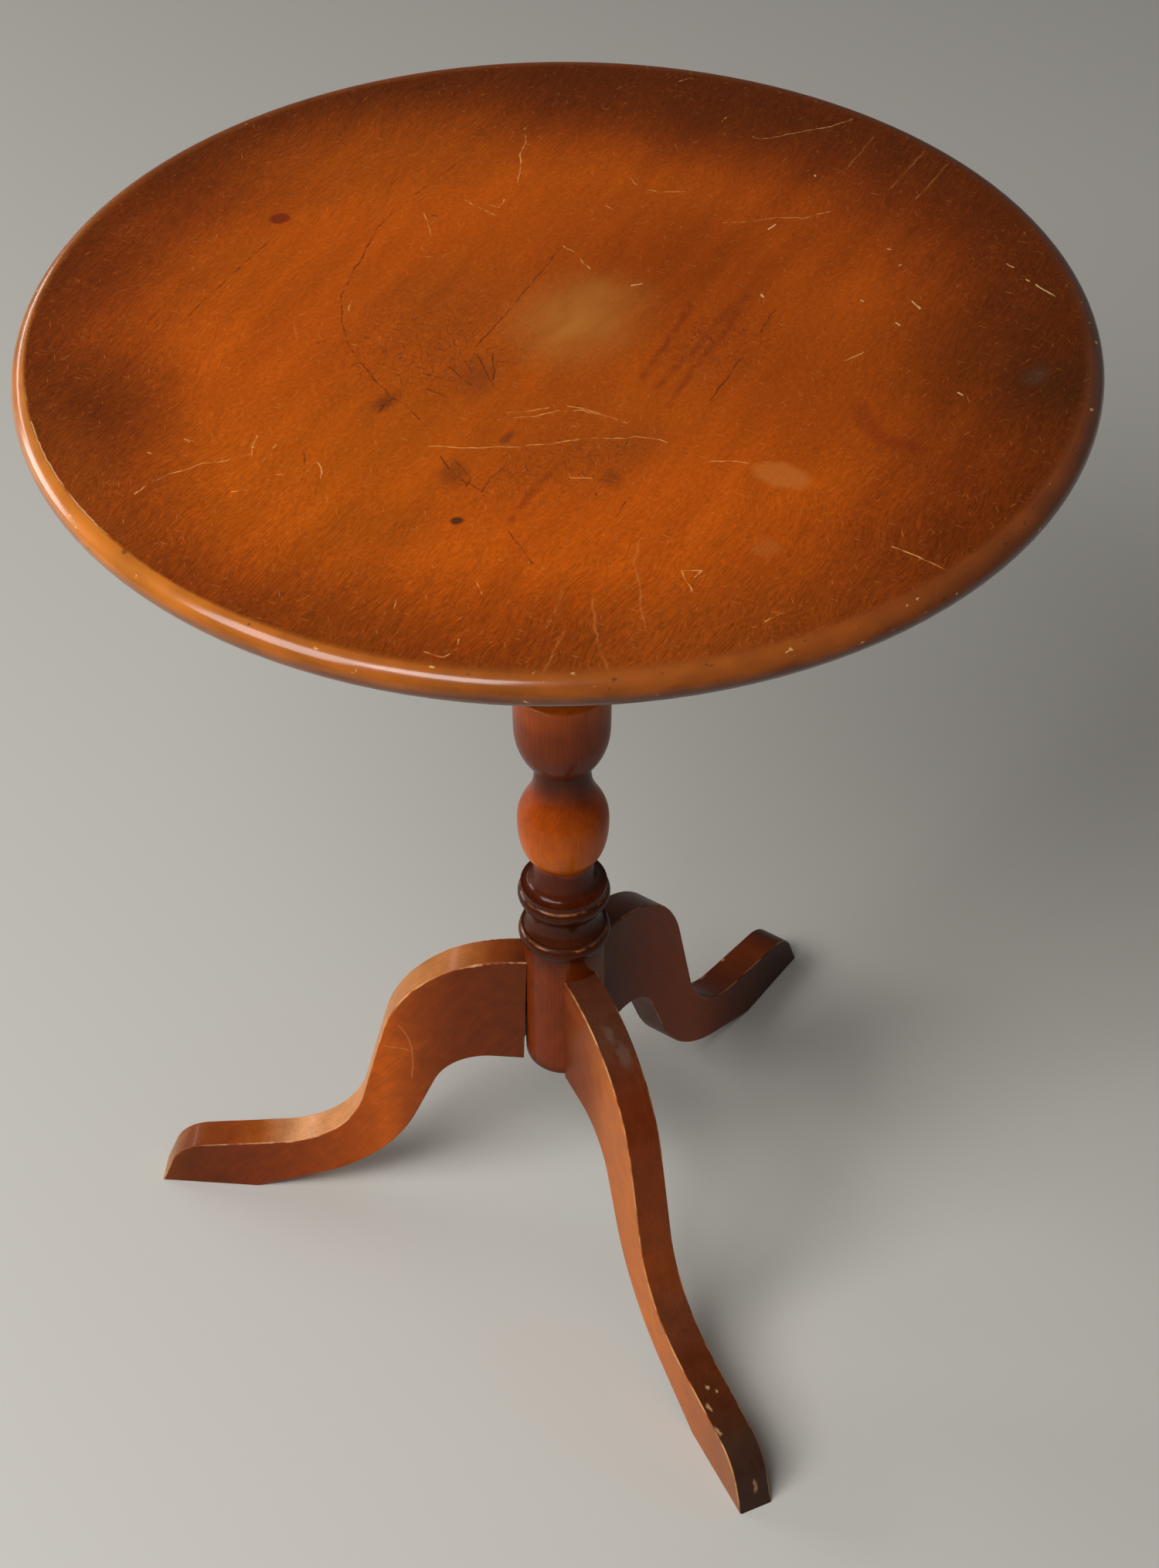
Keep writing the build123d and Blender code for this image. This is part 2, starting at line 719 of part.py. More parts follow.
# ---- catch bolt: bevelled underneath, with a rod that runs in the back of the housing ----
with BuildPart() as catch_bolt:
    with BuildSketch(Plane.YZ):
        with BuildLine():
            Polyline(
                (bolt_nose, catch_level + bolt_height / 2),
                (bolt_tail, catch_level + bolt_height / 2),
                (bolt_tail, catch_level - bolt_height / 2),
                (bolt_nose + bolt_bevel, catch_level - bolt_height / 2),
                (bolt_nose, catch_level - bolt_height / 2 + bolt_bevel),
                close=True,
            )
        make_face()
    extrude(amount=bolt_width / 2, both=True)
    with BuildSketch(Plane.XZ.offset(-bolt_tail)):
        with Locations((0, catch_level)):
            Circle(rod_radius)
    extrude(amount=bolt_tail - rod_end)
    with BuildSketch(Plane.XY.offset(catch_level - bolt_height / 2)):
        with Locations((0, stem_place)):
            Circle(stem_radius + glue_gap)
    extrude(amount=stem_in_bolt + glue_gap, mode=Mode.SUBTRACT)
pieces["catch_bolt"] = catch_bolt

# ---- catch knob: a stem screwed into the bolt, and a turned grip below the housing ----
knob_top = housing_under - knob_gap
grip_top = knob_top - knob_collar_height
with BuildPart() as catch_knob:
    with BuildSketch(Plane.XZ.offset(-stem_place)):
        with BuildLine():
            Polyline(
                (0, knob_top - knob_length),
                (0, catch_level - bolt_height / 2 + stem_in_bolt),
                (stem_radius, catch_level - bolt_height / 2 + stem_in_bolt),
                (stem_radius, knob_top),
                (knob_collar_radius, knob_top),
                (knob_collar_radius, grip_top),
            )
            Bezier(
                (knob_collar_radius, grip_top),
                (knob_radius * 1.3, grip_top),
                (knob_radius * 1.3, knob_top - knob_length),
                (0, knob_top - knob_length),
            )
        make_face()
    revolve(axis=Axis((0, stem_place, 0), (0, 0, 1)))
pieces["catch_knob"] = catch_knob

# ---- catch spring: round the rod, between the bolt and the back of the housing ----
coil_start = bolt_tail + spring_end_gap + spring_wire
coil_end = housing_back - housing_wall - spring_end_gap - spring_wire
with BuildPart() as catch_spring:
    with BuildLine():
        coil = Helix(
            pitch=(coil_end - coil_start) / spring_turns,
            height=coil_end - coil_start,
            radius=spring_radius,
            center=(0, coil_start, catch_level),
            direction=(0, 1, 0),
        )
    with BuildSketch(Plane(origin=coil @ 0, z_dir=coil % 0)):
        Circle(spring_wire)
    sweep(path=coil, is_frenet=True)
pieces["catch_spring"] = catch_spring

# ---- strike plate and its screws ----
with BuildPart() as strike_plate:
    with BuildSketch(Plane.XZ.offset(-block_face)):
        with Locations((0, strike_level)):
            RectangleRounded(strike_width, strike_height, strike_corner)
        with Locations((0, catch_level)):
            Rectangle(
                bolt_width + 2 * mortise_margin,
                bolt_height + 2 * mortise_margin,
                mode=Mode.SUBTRACT,
            )
    extrude(amount=-strike_thickness)
    with Locations(*strike_screw_places):
        add(strike_screw_hole, mode=Mode.SUBTRACT)
pieces["strike_plate"] = strike_plate

with BuildPart() as strike_screws:
    with Locations(*strike_screw_places):
        add(strike_screw)
pieces["strike_screws"] = strike_screws

# ---- files ----
for name, piece in pieces.items():
    piece.part.label = name
    export_step(piece.part, f"parts/{name}.step")
    print(f"{name}: {len(piece.part.solids())} solid(s), {piece.part.volume / 1000:.2f} cm3")
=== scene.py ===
import math

import bpy
from mathutils import Matrix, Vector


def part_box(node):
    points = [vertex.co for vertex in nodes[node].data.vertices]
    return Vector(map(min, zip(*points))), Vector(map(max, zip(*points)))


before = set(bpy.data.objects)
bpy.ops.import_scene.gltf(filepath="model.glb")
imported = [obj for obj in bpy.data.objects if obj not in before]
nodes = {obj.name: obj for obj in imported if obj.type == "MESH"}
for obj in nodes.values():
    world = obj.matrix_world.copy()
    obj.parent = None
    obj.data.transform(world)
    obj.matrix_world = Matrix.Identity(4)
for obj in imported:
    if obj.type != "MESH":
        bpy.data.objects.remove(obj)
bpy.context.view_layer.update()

print("frame loaded:", len(nodes), "parts")

# The hinge lies along X on the -Y side of the column, the catch is at +Y and the front leg points
# along -Y. Patterns and marks are laid out in millimetres of this frame.
mmPerMetre = 1000.0
topLow, topHigh = (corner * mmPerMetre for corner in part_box("table_top"))


def toLinear(hexColour):
    channels = [int(hexColour[i : i + 2], 16) / 255 for i in (1, 3, 5)]
    return [c / 12.92 if c <= 0.04045 else ((c + 0.055) / 1.055) ** 2.4 for c in channels] + [1.0]


# Adds a node. An input may be another node, one of its sockets, a hex colour or a plain value;
# stops are a colour ramp's positions and colours, in rising order.
def addNode(tree, kind, inputs=None, stops=(), **settings):
    node = tree.nodes.new(kind)
    for name, value in settings.items():
        setattr(node, name, value)
    for key, value in (inputs or {}).items():
        if isinstance(value, bpy.types.Node):
            value = next(socket for socket in value.outputs if socket.enabled)
        if isinstance(value, bpy.types.NodeSocket):
            tree.links.new(value, node.inputs[key])
        else:
            node.inputs[key].default_value = toLinear(value) if isinstance(value, str) else value
    for i, (position, hexColour) in enumerate(stops):
        ramp = node.color_ramp.elements
        stop = ramp[i] if i < 2 else ramp.new(position)
        stop.position = position
        stop.color = toLinear(hexColour)
    return node


def newMaterial(name):
    material = bpy.data.materials.new(name)
    material.use_nodes = True
    material.node_tree.nodes.clear()
    return material, material.node_tree


def dress(names, material):
    for name in names:
        mesh = nodes[name].data
        mesh.materials.clear()
        mesh.materials.append(material)


camera = {
    "lensMm": 68.0,
    "place": (-0.5299, -1.1627, 1.5604),
    "turn": -24.943,  # degrees; 0 looks along +Y
    "pitchDown": 42.833,
    "roll": 0.334,
}


def makeCamera():
    data = bpy.data.cameras.new("camera")
    data.lens = camera["lensMm"]
    body = bpy.data.objects.new("camera", data)
    bpy.context.scene.collection.objects.link(body)
    aim = (
        Matrix.Rotation(math.radians(camera["turn"]), 4, "Z")
        @ Matrix.Rotation(math.radians(90 - camera["pitchDown"]), 4, "X")
        @ Matrix.Rotation(math.radians(-camera["roll"]), 4, "Z")
    )
    body.matrix_world = Matrix.Translation(camera["place"]) @ aim
    bpy.context.scene.camera = body


studio = {
    "floorSize": 12.0,
    "floorColour": "#bfbcb5",
    "roomColour": "#f4f1ec",
    "roomStrength": 0.17,
    "backdropColour": "#a8a5a0",  # what the camera sees far off, where the floor runs out of light
    "backdropFrom": (1.8, 3.4),  # metres from the middle over which the floor turns to it
    "aimHeight": 0.45,
    # soft boxes: azimuth and elevation in degrees, distance, width and height in metres, power in watts
    "softBoxes": {
        "leftWindow": (-172, 40, 2.6, 1.3, 1.3, 49),
        "cameraSide": (-140, 50, 2.3, 0.8, 0.8, 24),
        "farWindow": (118, 14, 2.8, 2.2, 0.2, 12),
        "lowWindow": (134, 4, 2.6, 0.9, 0.7, 14),
    },
}


def makeStudio():
    half = studio["floorSize"] / 2
    corners = [(-half, -half, 0), (half, -half, 0), (half, half, 0), (-half, half, 0)]
    mesh = bpy.data.meshes.new("floor")
    mesh.from_pydata(corners, [], [(0, 1, 2, 3)])
    floor = bpy.data.objects.new("floor", mesh)
    bpy.context.scene.collection.objects.link(floor)
    material, tree = newMaterial("mattPaintedFloor")
    paint = addNode(
        tree,
        "ShaderNodeBsdfPrincipled",
        {"Base Color": studio["floorColour"], "Roughness": 0.85, "Specular IOR Level": 0.2},
    )
    near, far = studio["backdropFrom"]
    place = addNode(tree, "ShaderNodeTexCoord").outputs["Object"]
    away = addNode(tree, "ShaderNodeVectorMath", {0: place}, operation="LENGTH")
    faded = addNode(
        tree, "ShaderNodeMapRange", {0: away, 1: near, 2: far}, interpolation_type="SMOOTHSTEP"
    )
    seen = addNode(tree, "ShaderNodeLightPath").outputs["Is Camera Ray"]
    faded = addNode(tree, "ShaderNodeMath", {0: faded, 1: seen}, operation="MULTIPLY")
    glow = addNode(tree, "ShaderNodeEmission", {"Color": studio["backdropColour"]})
    shader = addNode(tree, "ShaderNodeMixShader", {0: faded, 1: paint, 2: glow})
    addNode(tree, "ShaderNodeOutputMaterial", {"Surface": shader})
    mesh.materials.append(material)

    world = bpy.data.worlds.new("softRoom")
    bpy.context.scene.world = world
    world.use_nodes = True
    tree = world.node_tree
    tree.nodes.clear()
    room = addNode(
        tree, "ShaderNodeBackground", {"Color": studio["roomColour"], "Strength": studio["roomStrength"]}
    )
    backdrop = addNode(tree, "ShaderNodeBackground", {"Color": studio["backdropColour"]})
    seen = addNode(tree, "ShaderNodeLightPath").outputs["Is Camera Ray"]
    shader = addNode(tree, "ShaderNodeMixShader", {0: seen, 1: room, 2: backdrop})
    addNode(tree, "ShaderNodeOutputWorld", {"Surface": shader})

    for name, (azimuth, elevation, distance, width, height, power) in studio["softBoxes"].items():
        lamp = bpy.data.lights.new(name, "AREA")
        lamp.shape = "RECTANGLE"
        lamp.size, lamp.size_y = width, height
        lamp.energy = power
        box = bpy.data.objects.new(name, lamp)
        bpy.context.scene.collection.objects.link(box)
        turned = Matrix.Rotation(math.radians(azimuth + 90), 4, "Z") @ Matrix.Rotation(
            math.radians(90 - elevation), 4, "X"
        )
        middle = Matrix.Translation((0, 0, studio["aimHeight"]))
        box.matrix_world = middle @ turned @ Matrix.Translation((0, 0, distance))


bpy.context.scene.view_settings.view_transform = "Standard"
makeCamera()
makeStudio()
print("camera, floor and light made")


# the point on the surface in mm, before any joint moves
def surfacePoint(tree):
    place = addNode(tree, "ShaderNodeTexCoord").outputs["Object"]
    return addNode(tree, "ShaderNodeVectorMath", {0: place, "Scale": mmPerMetre}, operation="SCALE")


# noise whose patches are so many mm long, wide and deep along the given point's own axes
def grain(tree, point, patch, detail=2.0):
    stretched = addNode(
        tree, "ShaderNodeVectorMath", {0: point, 1: [1 / size for size in patch]}, operation="MULTIPLY"
    )
    return addNode(tree, "ShaderNodeTexNoise", {"Vector": stretched, "Scale": 1.0, "Detail": detail})


# the point moved about by noise, so that what is drawn with it wanders by up to so many mm
def wander(tree, point, patch, reach):
    noise = addNode(tree, "ShaderNodeTexNoise", {"Vector": point, "Scale": 1 / patch, "Detail": 2.0})
    centred = addNode(
        tree, "ShaderNodeVectorMath", {0: noise.outputs["Color"], 1: (0.5, 0.5, 0.5)}, operation="SUBTRACT"
    )
    return addNode(
        tree,
        "ShaderNodeVectorMath",
        {0: centred, 1: (2 * reach, 2 * reach, 2 * reach), 2: point},
        operation="MULTIPLY_ADD",
    )


# the strength inside an oval in mm, falling to 0 at its edge; soft is the share of the radius that fades
def ovalMask(tree, point, centre, radii, turn=0.0, soft=1.0, strength=1.0):
    offset = addNode(tree, "ShaderNodeVectorMath", {0: point, 1: (*centre, 0)}, operation="SUBTRACT")
    turned = addNode(
        tree,
        "ShaderNodeVectorRotate",
        {"Vector": offset, "Angle": math.radians(-turn)},
        rotation_type="Z_AXIS",
    )
    scaled = addNode(
        tree, "ShaderNodeVectorMath", {0: turned, 1: (1 / radii[0], 1 / radii[1], 0)}, operation="MULTIPLY"
    )
    away = addNode(tree, "ShaderNodeVectorMath", {0: scaled}, operation="LENGTH")
    return addNode(
        tree,
        "ShaderNodeMapRange",
        {0: away, 1: 1 - soft, 2: 1.0, 3: strength, 4: 0.0},
        interpolation_type="SMOOTHSTEP",
    )


# a group that gives the distance in mm from a point to one straight stroke
def makeStrokeGroup():
    group = bpy.data.node_groups.new("strokeDistance", "ShaderNodeTree")
    for name in ("Point", "Start", "Run", "Run by Length Squared"):
        group.interface.new_socket(name=name, in_out="INPUT", socket_type="NodeSocketVector")
    group.interface.new_socket(name="Distance", in_out="OUTPUT", socket_type="NodeSocketFloat")
    given = addNode(group, "NodeGroupInput").outputs
    offset = addNode(group, "ShaderNodeVectorMath", {0: given[0], 1: given[1]}, operation="SUBTRACT")
    share = addNode(group, "ShaderNodeVectorMath", {0: offset, 1: given[3]}, operation="DOT_PRODUCT")
    held = addNode(group, "ShaderNodeClamp", {0: share})
    nearest = addNode(group, "ShaderNodeVectorMath", {0: given[2], "Scale": held}, operation="SCALE")
    gap = addNode(group, "ShaderNodeVectorMath", {0: offset, 1: nearest}, operation="DISTANCE")
    addNode(group, "NodeGroupOutput", {0: gap})
    return group


strokeGroup = makeStrokeGroup()


# the strength on the strokes, fading to 0 beside them; each stroke is a chain of points in mm
def strokeMask(tree, point, strokes, halfWidth, softness, strength=1.0):
    nearest = None
    for stroke in strokes:
        for (x0, y0), (x1, y1) in zip(stroke, stroke[1:]):
            run = (x1 - x0, y1 - y0, 0)
            lengthSquared = run[0] ** 2 + run[1] ** 2
            byLength = (run[0] / lengthSquared, run[1] / lengthSquared, 0)
            distance = addNode(tree, "ShaderNodeGroup", node_tree=strokeGroup)
            tree.links.new(point.outputs[0], distance.inputs[0])
            for socket, value in zip(distance.inputs[1:], ((x0, y0, 0), run, byLength)):
                socket.default_value = value
            if nearest:
                distance = addNode(tree, "ShaderNodeMath", {0: nearest, 1: distance}, operation="MINIMUM")
            nearest = distance
    return addNode(
        tree,
        "ShaderNodeMapRange",
        {0: nearest, 1: halfWidth, 2: halfWidth + softness, 3: strength, 4: 0.0},
        interpolation_type="SMOOTHSTEP",
    )


# the colour made darker and lighter by noises; each tone is a noise, and the factors at its low and high
def shadeBy(tree, colour, tones):
    for noise, low, high in tones:
        factor = addNode(tree, "ShaderNodeMapRange", {0: noise, 1: 0.3, 2: 0.7, 3: low, 4: high})
        colour = addNode(tree, "ShaderNodeVectorMath", {0: colour, "Scale": factor}, operation="SCALE")
    return colour


# the shader and output that end a material; the relief's height runs from 0 to 1 over reliefMm
def closeMaterial(tree, reliefHeight, reliefMm, shaderInputs):
    relief = addNode(tree, "ShaderNodeBump", {"Height": reliefHeight, "Distance": reliefMm / mmPerMetre})
    shader = addNode(tree, "ShaderNodeBsdfPrincipled", {"Normal": relief, **shaderInputs})
    addNode(tree, "ShaderNodeOutputMaterial", {"Surface": shader})


# Maple, toned amber and shaded with a sprayed brown lacquer that clouds to dark near the edge. The satin
# film is rubbed hazy in the middle and scratched pale; the nose is worn to honey-coloured wood, lightened
# further on the lit side as painted light, and darkened on the far side and on its lower half as painted
# shade.
top = {
    "grainAngle": 39.5,  # degrees from X
    "fibre": (9.0, 0.9, 0.9),  # mm along and across the wood, coarser than real pores so that it shows
    "fibreDepth": (0.12, 0.34),  # how much the fibres show in the middle, and in the dark shading
    "fibreDepthRadii": (120.0, 250.0),  # where that starts and stops growing
    "band": (150.0, 16.0, 16.0),
    "mottlePatch": 2.5,
    "reliefMm": 0.02,
    "burstCentre": (-22, -18, 0),  # the sprayed shading is not quite central
    "burstReach": 285.0,
    "burstPatch": 90,  # mm across the cloudy patches of its edge
    "burstDrift": 60.0,  # mm by which they shift it in all
    "burst": (
        (0.00, "#9c4506"),
        (0.27, "#9d4405"),
        (0.46, "#a84804"),
        (0.60, "#a84904"),
        (0.70, "#943e03"),
        (0.79, "#7c3203"),
        (0.88, "#692902"),
        (1.00, "#592301"),
    ),
    # soft areas: centre, radii, colour and strength
    "clouds": (
        ((-150, -60), (125, 110), "#a04a03", 0.7),
        ((-130, 120), (80, 70), "#964303", 0.4),
        ((95, 25), (125, 115), "#702a00", 0.6),
        ((95, -85), (95, 80), "#6e2900", 0.35),
        ((195, -130), (120, 110), "#431c01", 0.6),
        ((90, -150), (90, 80), "#5e2201", 0.3),
        ((205, -155), (40, 40), "#3a1c05", 0.5),
        ((170, 170), (105, 95), "#4a1d01", 0.36),
        ((-20, 195), (120, 75), "#a04804", 0.65),
        ((-245, 40), (80, 95), "#4f1f01", 0.7),
        ((-262, -30), (30, 130), "#7e3805", 0.6),
        ((-60, -255), (170, 60), "#8c4009", 0.55),
        ((-200, -175), (80, 80), "#7c3704", 0.5),
        ((-45, 48), (66, 60), "#7c3c07", 0.27),
        ((-235, -130), (40, 60), "#6a2b03", 0.3),
        ((-150, -115), (50, 35), "#5e2a04", 0.3),
        ((-15, -108), (60, 30), "#6a3209", 0.3),
    ),
    # the hazy patch where the film is rubbed thin: centre, radii, turn, softness and strength
    "haze": ((14, 4), (62, 48), 40, 1.0, 0.8),
    "hazeColour": "#a86c2b",
    # spots left by wet things, drops and burns: centre, radii, turn, softness, strength and colour
    "spots": (
        ((44.8, -160.5), (18.5, 12), -54, 0.45, 0.5, "#b8682a"),
        ((12.1, -207.2), (10, 9), 0, 0.6, 0.4, "#a3551f"),
        ((-91.8, 159.6), (7.5, 6), 0, 0.4, 0.85, "#6b230c"),
        ((-111.1, -126), (4.5, 4), 0, 0.5, 0.85, "#352012"),
        ((199.7, -141.9), (14, 9), 30, 0.8, 0.5, "#4a3324"),
        ((-62.5, -75.6), (9, 4), 30, 0.8, 0.5, "#3a2013"),
        ((-98, -92), (16, 11), 60, 0.9, 0.45, "#4a210d"),
        ((-105, -22), (14, 8), 30, 0.9, 0.5, "#3d1d0e"),
        ((-30, -128), (12, 8), 60, 0.9, 0.4, "#4a210d"),
        ((-56, -22), (26, 16), 60, 0.9, 0.4, "#5a2a10"),
    ),
    # how each kind of mark is drawn, from the lowest up: half width and softness in mm, strength and
    # colour, and whether it breaks off here and there
    "marks": {
        "arcSmudge": (1.0, 7.0, 0.4, "#6d1f08", False),
        "streaks": (0.3, 3.0, 0.45, "#6b2408", True),
        "darkScratches": (0.05, 0.75, 0.7, "#2a150c", True),
        "faintScratches": (0.1, 0.9, 0.3, "#c07a3c", True),
        "paleScratches": (0.05, 0.5, 0.8, "#dda05a", True),
        "chips": (0.15, 0.6, 0.8, "#dfb67c", False),
    },
    "arcSmudge": (((106, -129), (102, -142), (104, -158), (115, -169)),),
    "streaks": (
        ((104, -13), (78, -39), (56, -56), (37, -71), (21, -86)),
        ((90, -20), (56, -47), (22, -69)),
        ((71, -11), (37, -43), (20, -58)),
        ((-56, -110), (-75, -125), (-88, -137)),
    ),
    "paleScratches": (
        ((-243, -40), (-233, -35), (-222, -32), (-205, -31), (-192, -34), (-181, -34)),
        ((-173, -21), (-178, -28), (-181, -35)),
        ((-167, -32), (-170, -34.5)),
        ((-206, -8), (-204, -12)),
        ((-226, -11), (-224.5, -13.5)),
        ((-154, -54), (-155, -63.5), (-157, -67)),
        ((-200, -58), (-190, -61)),
        ((-175.5, -55), (-173, -56)),
        ((-100, -65), (-80, -76.5), (-60, -84.5), (-43, -90),
         (-28, -92), (-10, -101), (-4, -102), (9, -114)),
        ((14, -112), (6.5, -115.5)),
        ((-54, -56), (-48.5, -59), (-37, -61), (-24, -64.5), (-16, -72), (-9, -82), (-4, -90)),
        ((-60, -60), (-43, -65), (-30, -66), (-19, -71), (-11, -81)),
        ((-48.5, -118.5), (-39, -123.5)),
        ((-120.5, -172), (-122.5, -181)),
        ((-160, -169), (-163, -174)),
        ((-168, -189.5), (-173, -197)),
        ((-163, -208), (-156, -215), (-149, -213), (-145, -206)),
        ((-34, -221), (-32, -205), (-23, -210), (-28, -212.5)),
        ((-20.5, -256), (-3, -253)),
        ((17, -135), (26, -139), (35, -145)),
        ((65, -231), (70, -239), (76, -250), (84, -266)),
        ((119.5, -89), (131.5, -87)),
        ((-19, 132), (-21.5, 121), (-25, 108)),
        ((-37, 91.5), (-32, 88.5)),
        ((67, 188), (61, 174), (53, 164), (47, 151), (40, 139)),
        ((6, 134), (10, 123), (16, 110)),
        ((14, 127), (19.5, 118.5), (26, 125)),
        ((97, 115), (97, 109), (100, 101), (106, 95), (118, 90)),
        ((73, 95), (75, 88)),
        ((35.5, 69), (38, 58), (38.5, 43)),
        ((123, 52), (138, 47), (153, 44), (159, 41), (164, 38), (181, 37.5)),
        ((178, 125), (180, 122), (184, 119.5), (200, 118), (224, 116), (243, 117)),
        ((169, 197), (174, 198)),
        ((174.5, 150), (171, 147)),
        ((-86, 69), (-91.5, 61.5)),
    ),
    # long shallow marks, hardly lighter than the finish
    "faintScratches": (
        ((-78, -207), (-86, -226), (-91.5, -244.5), (-94, -260)),
        ((-41, -179), (-48.5, -190), (-54, -207), (-61, -222), (-66, -237)),
        ((-121, 61.5), (-125, 48.5)),
        ((-181, -45), (-175.5, -40)),
        ((205, 68), (240, 96)),
        ((222, 44), (258, 70)),
        ((228, 28), (262, 52)),
        ((-100, -222), (-122, -246)),
        ((-88, -196), (-106, -216)),
    ),
    "darkScratches": (
        ((-50, 125), (-65, 106), (-78, 91), (-90, 75), (-98, 54), (-103, 33), (-103.5, 18), (-101, -17)),
        ((-101, -17), (-97, -28), (-95, -43)),
        ((28, 64), (19, 55), (8, 46), (-22, 21), (-47, 1)),
        ((109, -33.5), (101, -40), (91.5, -48.5)),
        ((74, -64), (62, -74), (42, -90)),
        ((-156, -37), (-158, -47), (-161.5, -56), (-166.5, -65)),
        ((-65, 0), (-62.5, -19), (-60.5, -28)),
        ((-55, -5.5), (-56, -19)),
        ((-47, -3.5), (-49.5, -22), (-50.5, -33.5)),
        ((-39, -5.5), (-45, -20.5), (-48.5, -28)),
        ((-78, -7.5), (-67, -20.5)),
        ((-82, -20.5), (-75, -32)),
        ((-41, -13), (-32, -19)),
        ((-111, -28), (-103.5, -22.5), (-100, -20.5)),
        ((-98, -75), (-98, -86), (-96, -99), (-91.5, -108)),
        ((-93, -82), (-91.5, -97), (-96, -103)),
        ((-73, -96), (-84, -103), (-91.5, -110)),
        ((-37.5, -121.5), (-43, -137)),
        ((-32, -147.5), (-41, -155)),
        ((-8.5, -101), (-13, -107)),
        ((-92.5, -142), (-92, -171)),
        ((19.5, -141), (23, -146.5)),
        ((-168, 93), (-121, 129), (-101, 144)),
        ((-50, 127), (-20.5, 148.5), (20, 172)),
        ((-16, 127), (-14, 125)),
        ((-117, 40), (-112, 41)),
        ((-64, 10), (-62, 8)),
        ((147, -44), (148, -46)),
    ),
    "chips": (
        ((142, 36), (147.5, 38.5)),
        ((190, -8.5), (190.8, -9.5)),
        ((187.4, -24.8), (188.6, -24.8)),
        ((108.9, -17.6), (108.2, -20)),
        ((153.2, -44), (153.6, -46)),
        ((176.4, -57), (177.4, -65)),
        ((159.6, -71), (159.8, -74)),
        ((239.6, -48), (241.2, -52)),
        ((241, -65), (241.4, -67)),
        ((243, -72), (246, -85.5)),
        ((52, 19.5), (57, 18.5)),
        ((190, 73.2), (190, 73.8)),
        ((-239.4, 143), (-240.4, 140.5)),
        ((-178, 214), (-176, 215.5)),
        ((-163, 231), (-160, 232.5)),
        ((-120, 256), (-116, 255)),
        ((-98, 266), (-88, 269.5)),
        ((64.5, -269.5), (69, -275)),
        ((-177.5, -28.5), (-178, -29)),
        ((156.4, -138), (157.2, -140.5)),
    ),
    "flatRadius": 272.8,  # where the flat face gives way to the rounded nose
    "noseRagged": 1.6,  # mm by which that edge wanders
    # mm from it at which the nose's colour starts and is full, away from the worn and lit side and on it
    "noseStart": (-6, -1.6),
    "noseFull": (3, 0.6),
    "noseWornAndLitToward": 182.0,  # azimuth of the most worn side, which is also the lit side
    "noseColours": (  # from opposite that side round to it: painted shade at the dark end, honey wear lightened with painted light at the light end
        (0.0, "#4a220b"),
        (0.27, "#78380d"),
        (0.5, "#88420f"),
        (0.7, "#86430f"),
        (0.9, "#965012"),
        (1.0, "#ac6219"),
    ),
    "noseTone": (0.8, 1.14),
    "nosePatch": (25, 25, 8),
    "noseShadeColour": "#461f0b",  # painted shade on the nose's lower half
    "noseLower": (690.0, 684.5),  # heights between which it comes in
    "noseLowerDrift": 5.0,  # mm by which they shift in all
    "nickColours": ("#d9a96c", "#3c1c0c"),  # fresh nicks and dirty dents
    "nickPatch": (7, 7, 3),
    "rubbedLineColour": "#d8a274",
    "hairlines": (20.0, 74.0, 128.0),  # directions of the fine rubbing marks
    "hairlineSize": (10, 0.7, 0.7),  # mm; real ones are finer, and this is as fine as shows
    "hairlineColours": ("#cf8f4a", "#3a1c10"),  # clean and dirty
    "hairlineStrength": 0.38,
    # where dirt has settled in them: centre and radii
    "scuffed": (((-75, 12), (90, 80)), ((-50, -108), (90, 42)), ((70, -45), (60, 50))),
    "scuffedStrength": 0.6,
    "underside": ("#5f3219", "#4c2814"),  # thin stain over the bare boards' light and dark bands
    "undersideSkin": 1.2,  # mm above the lower face that counts as underside
    "faceRoughness": (0.42, 0.52),
    "noseRoughness": 0.3,
    "undersideRoughness": 0.65,
    "noseCoat": 0.65,
    "specular": 0.1,
    "coatRoughness": 0.16,
}


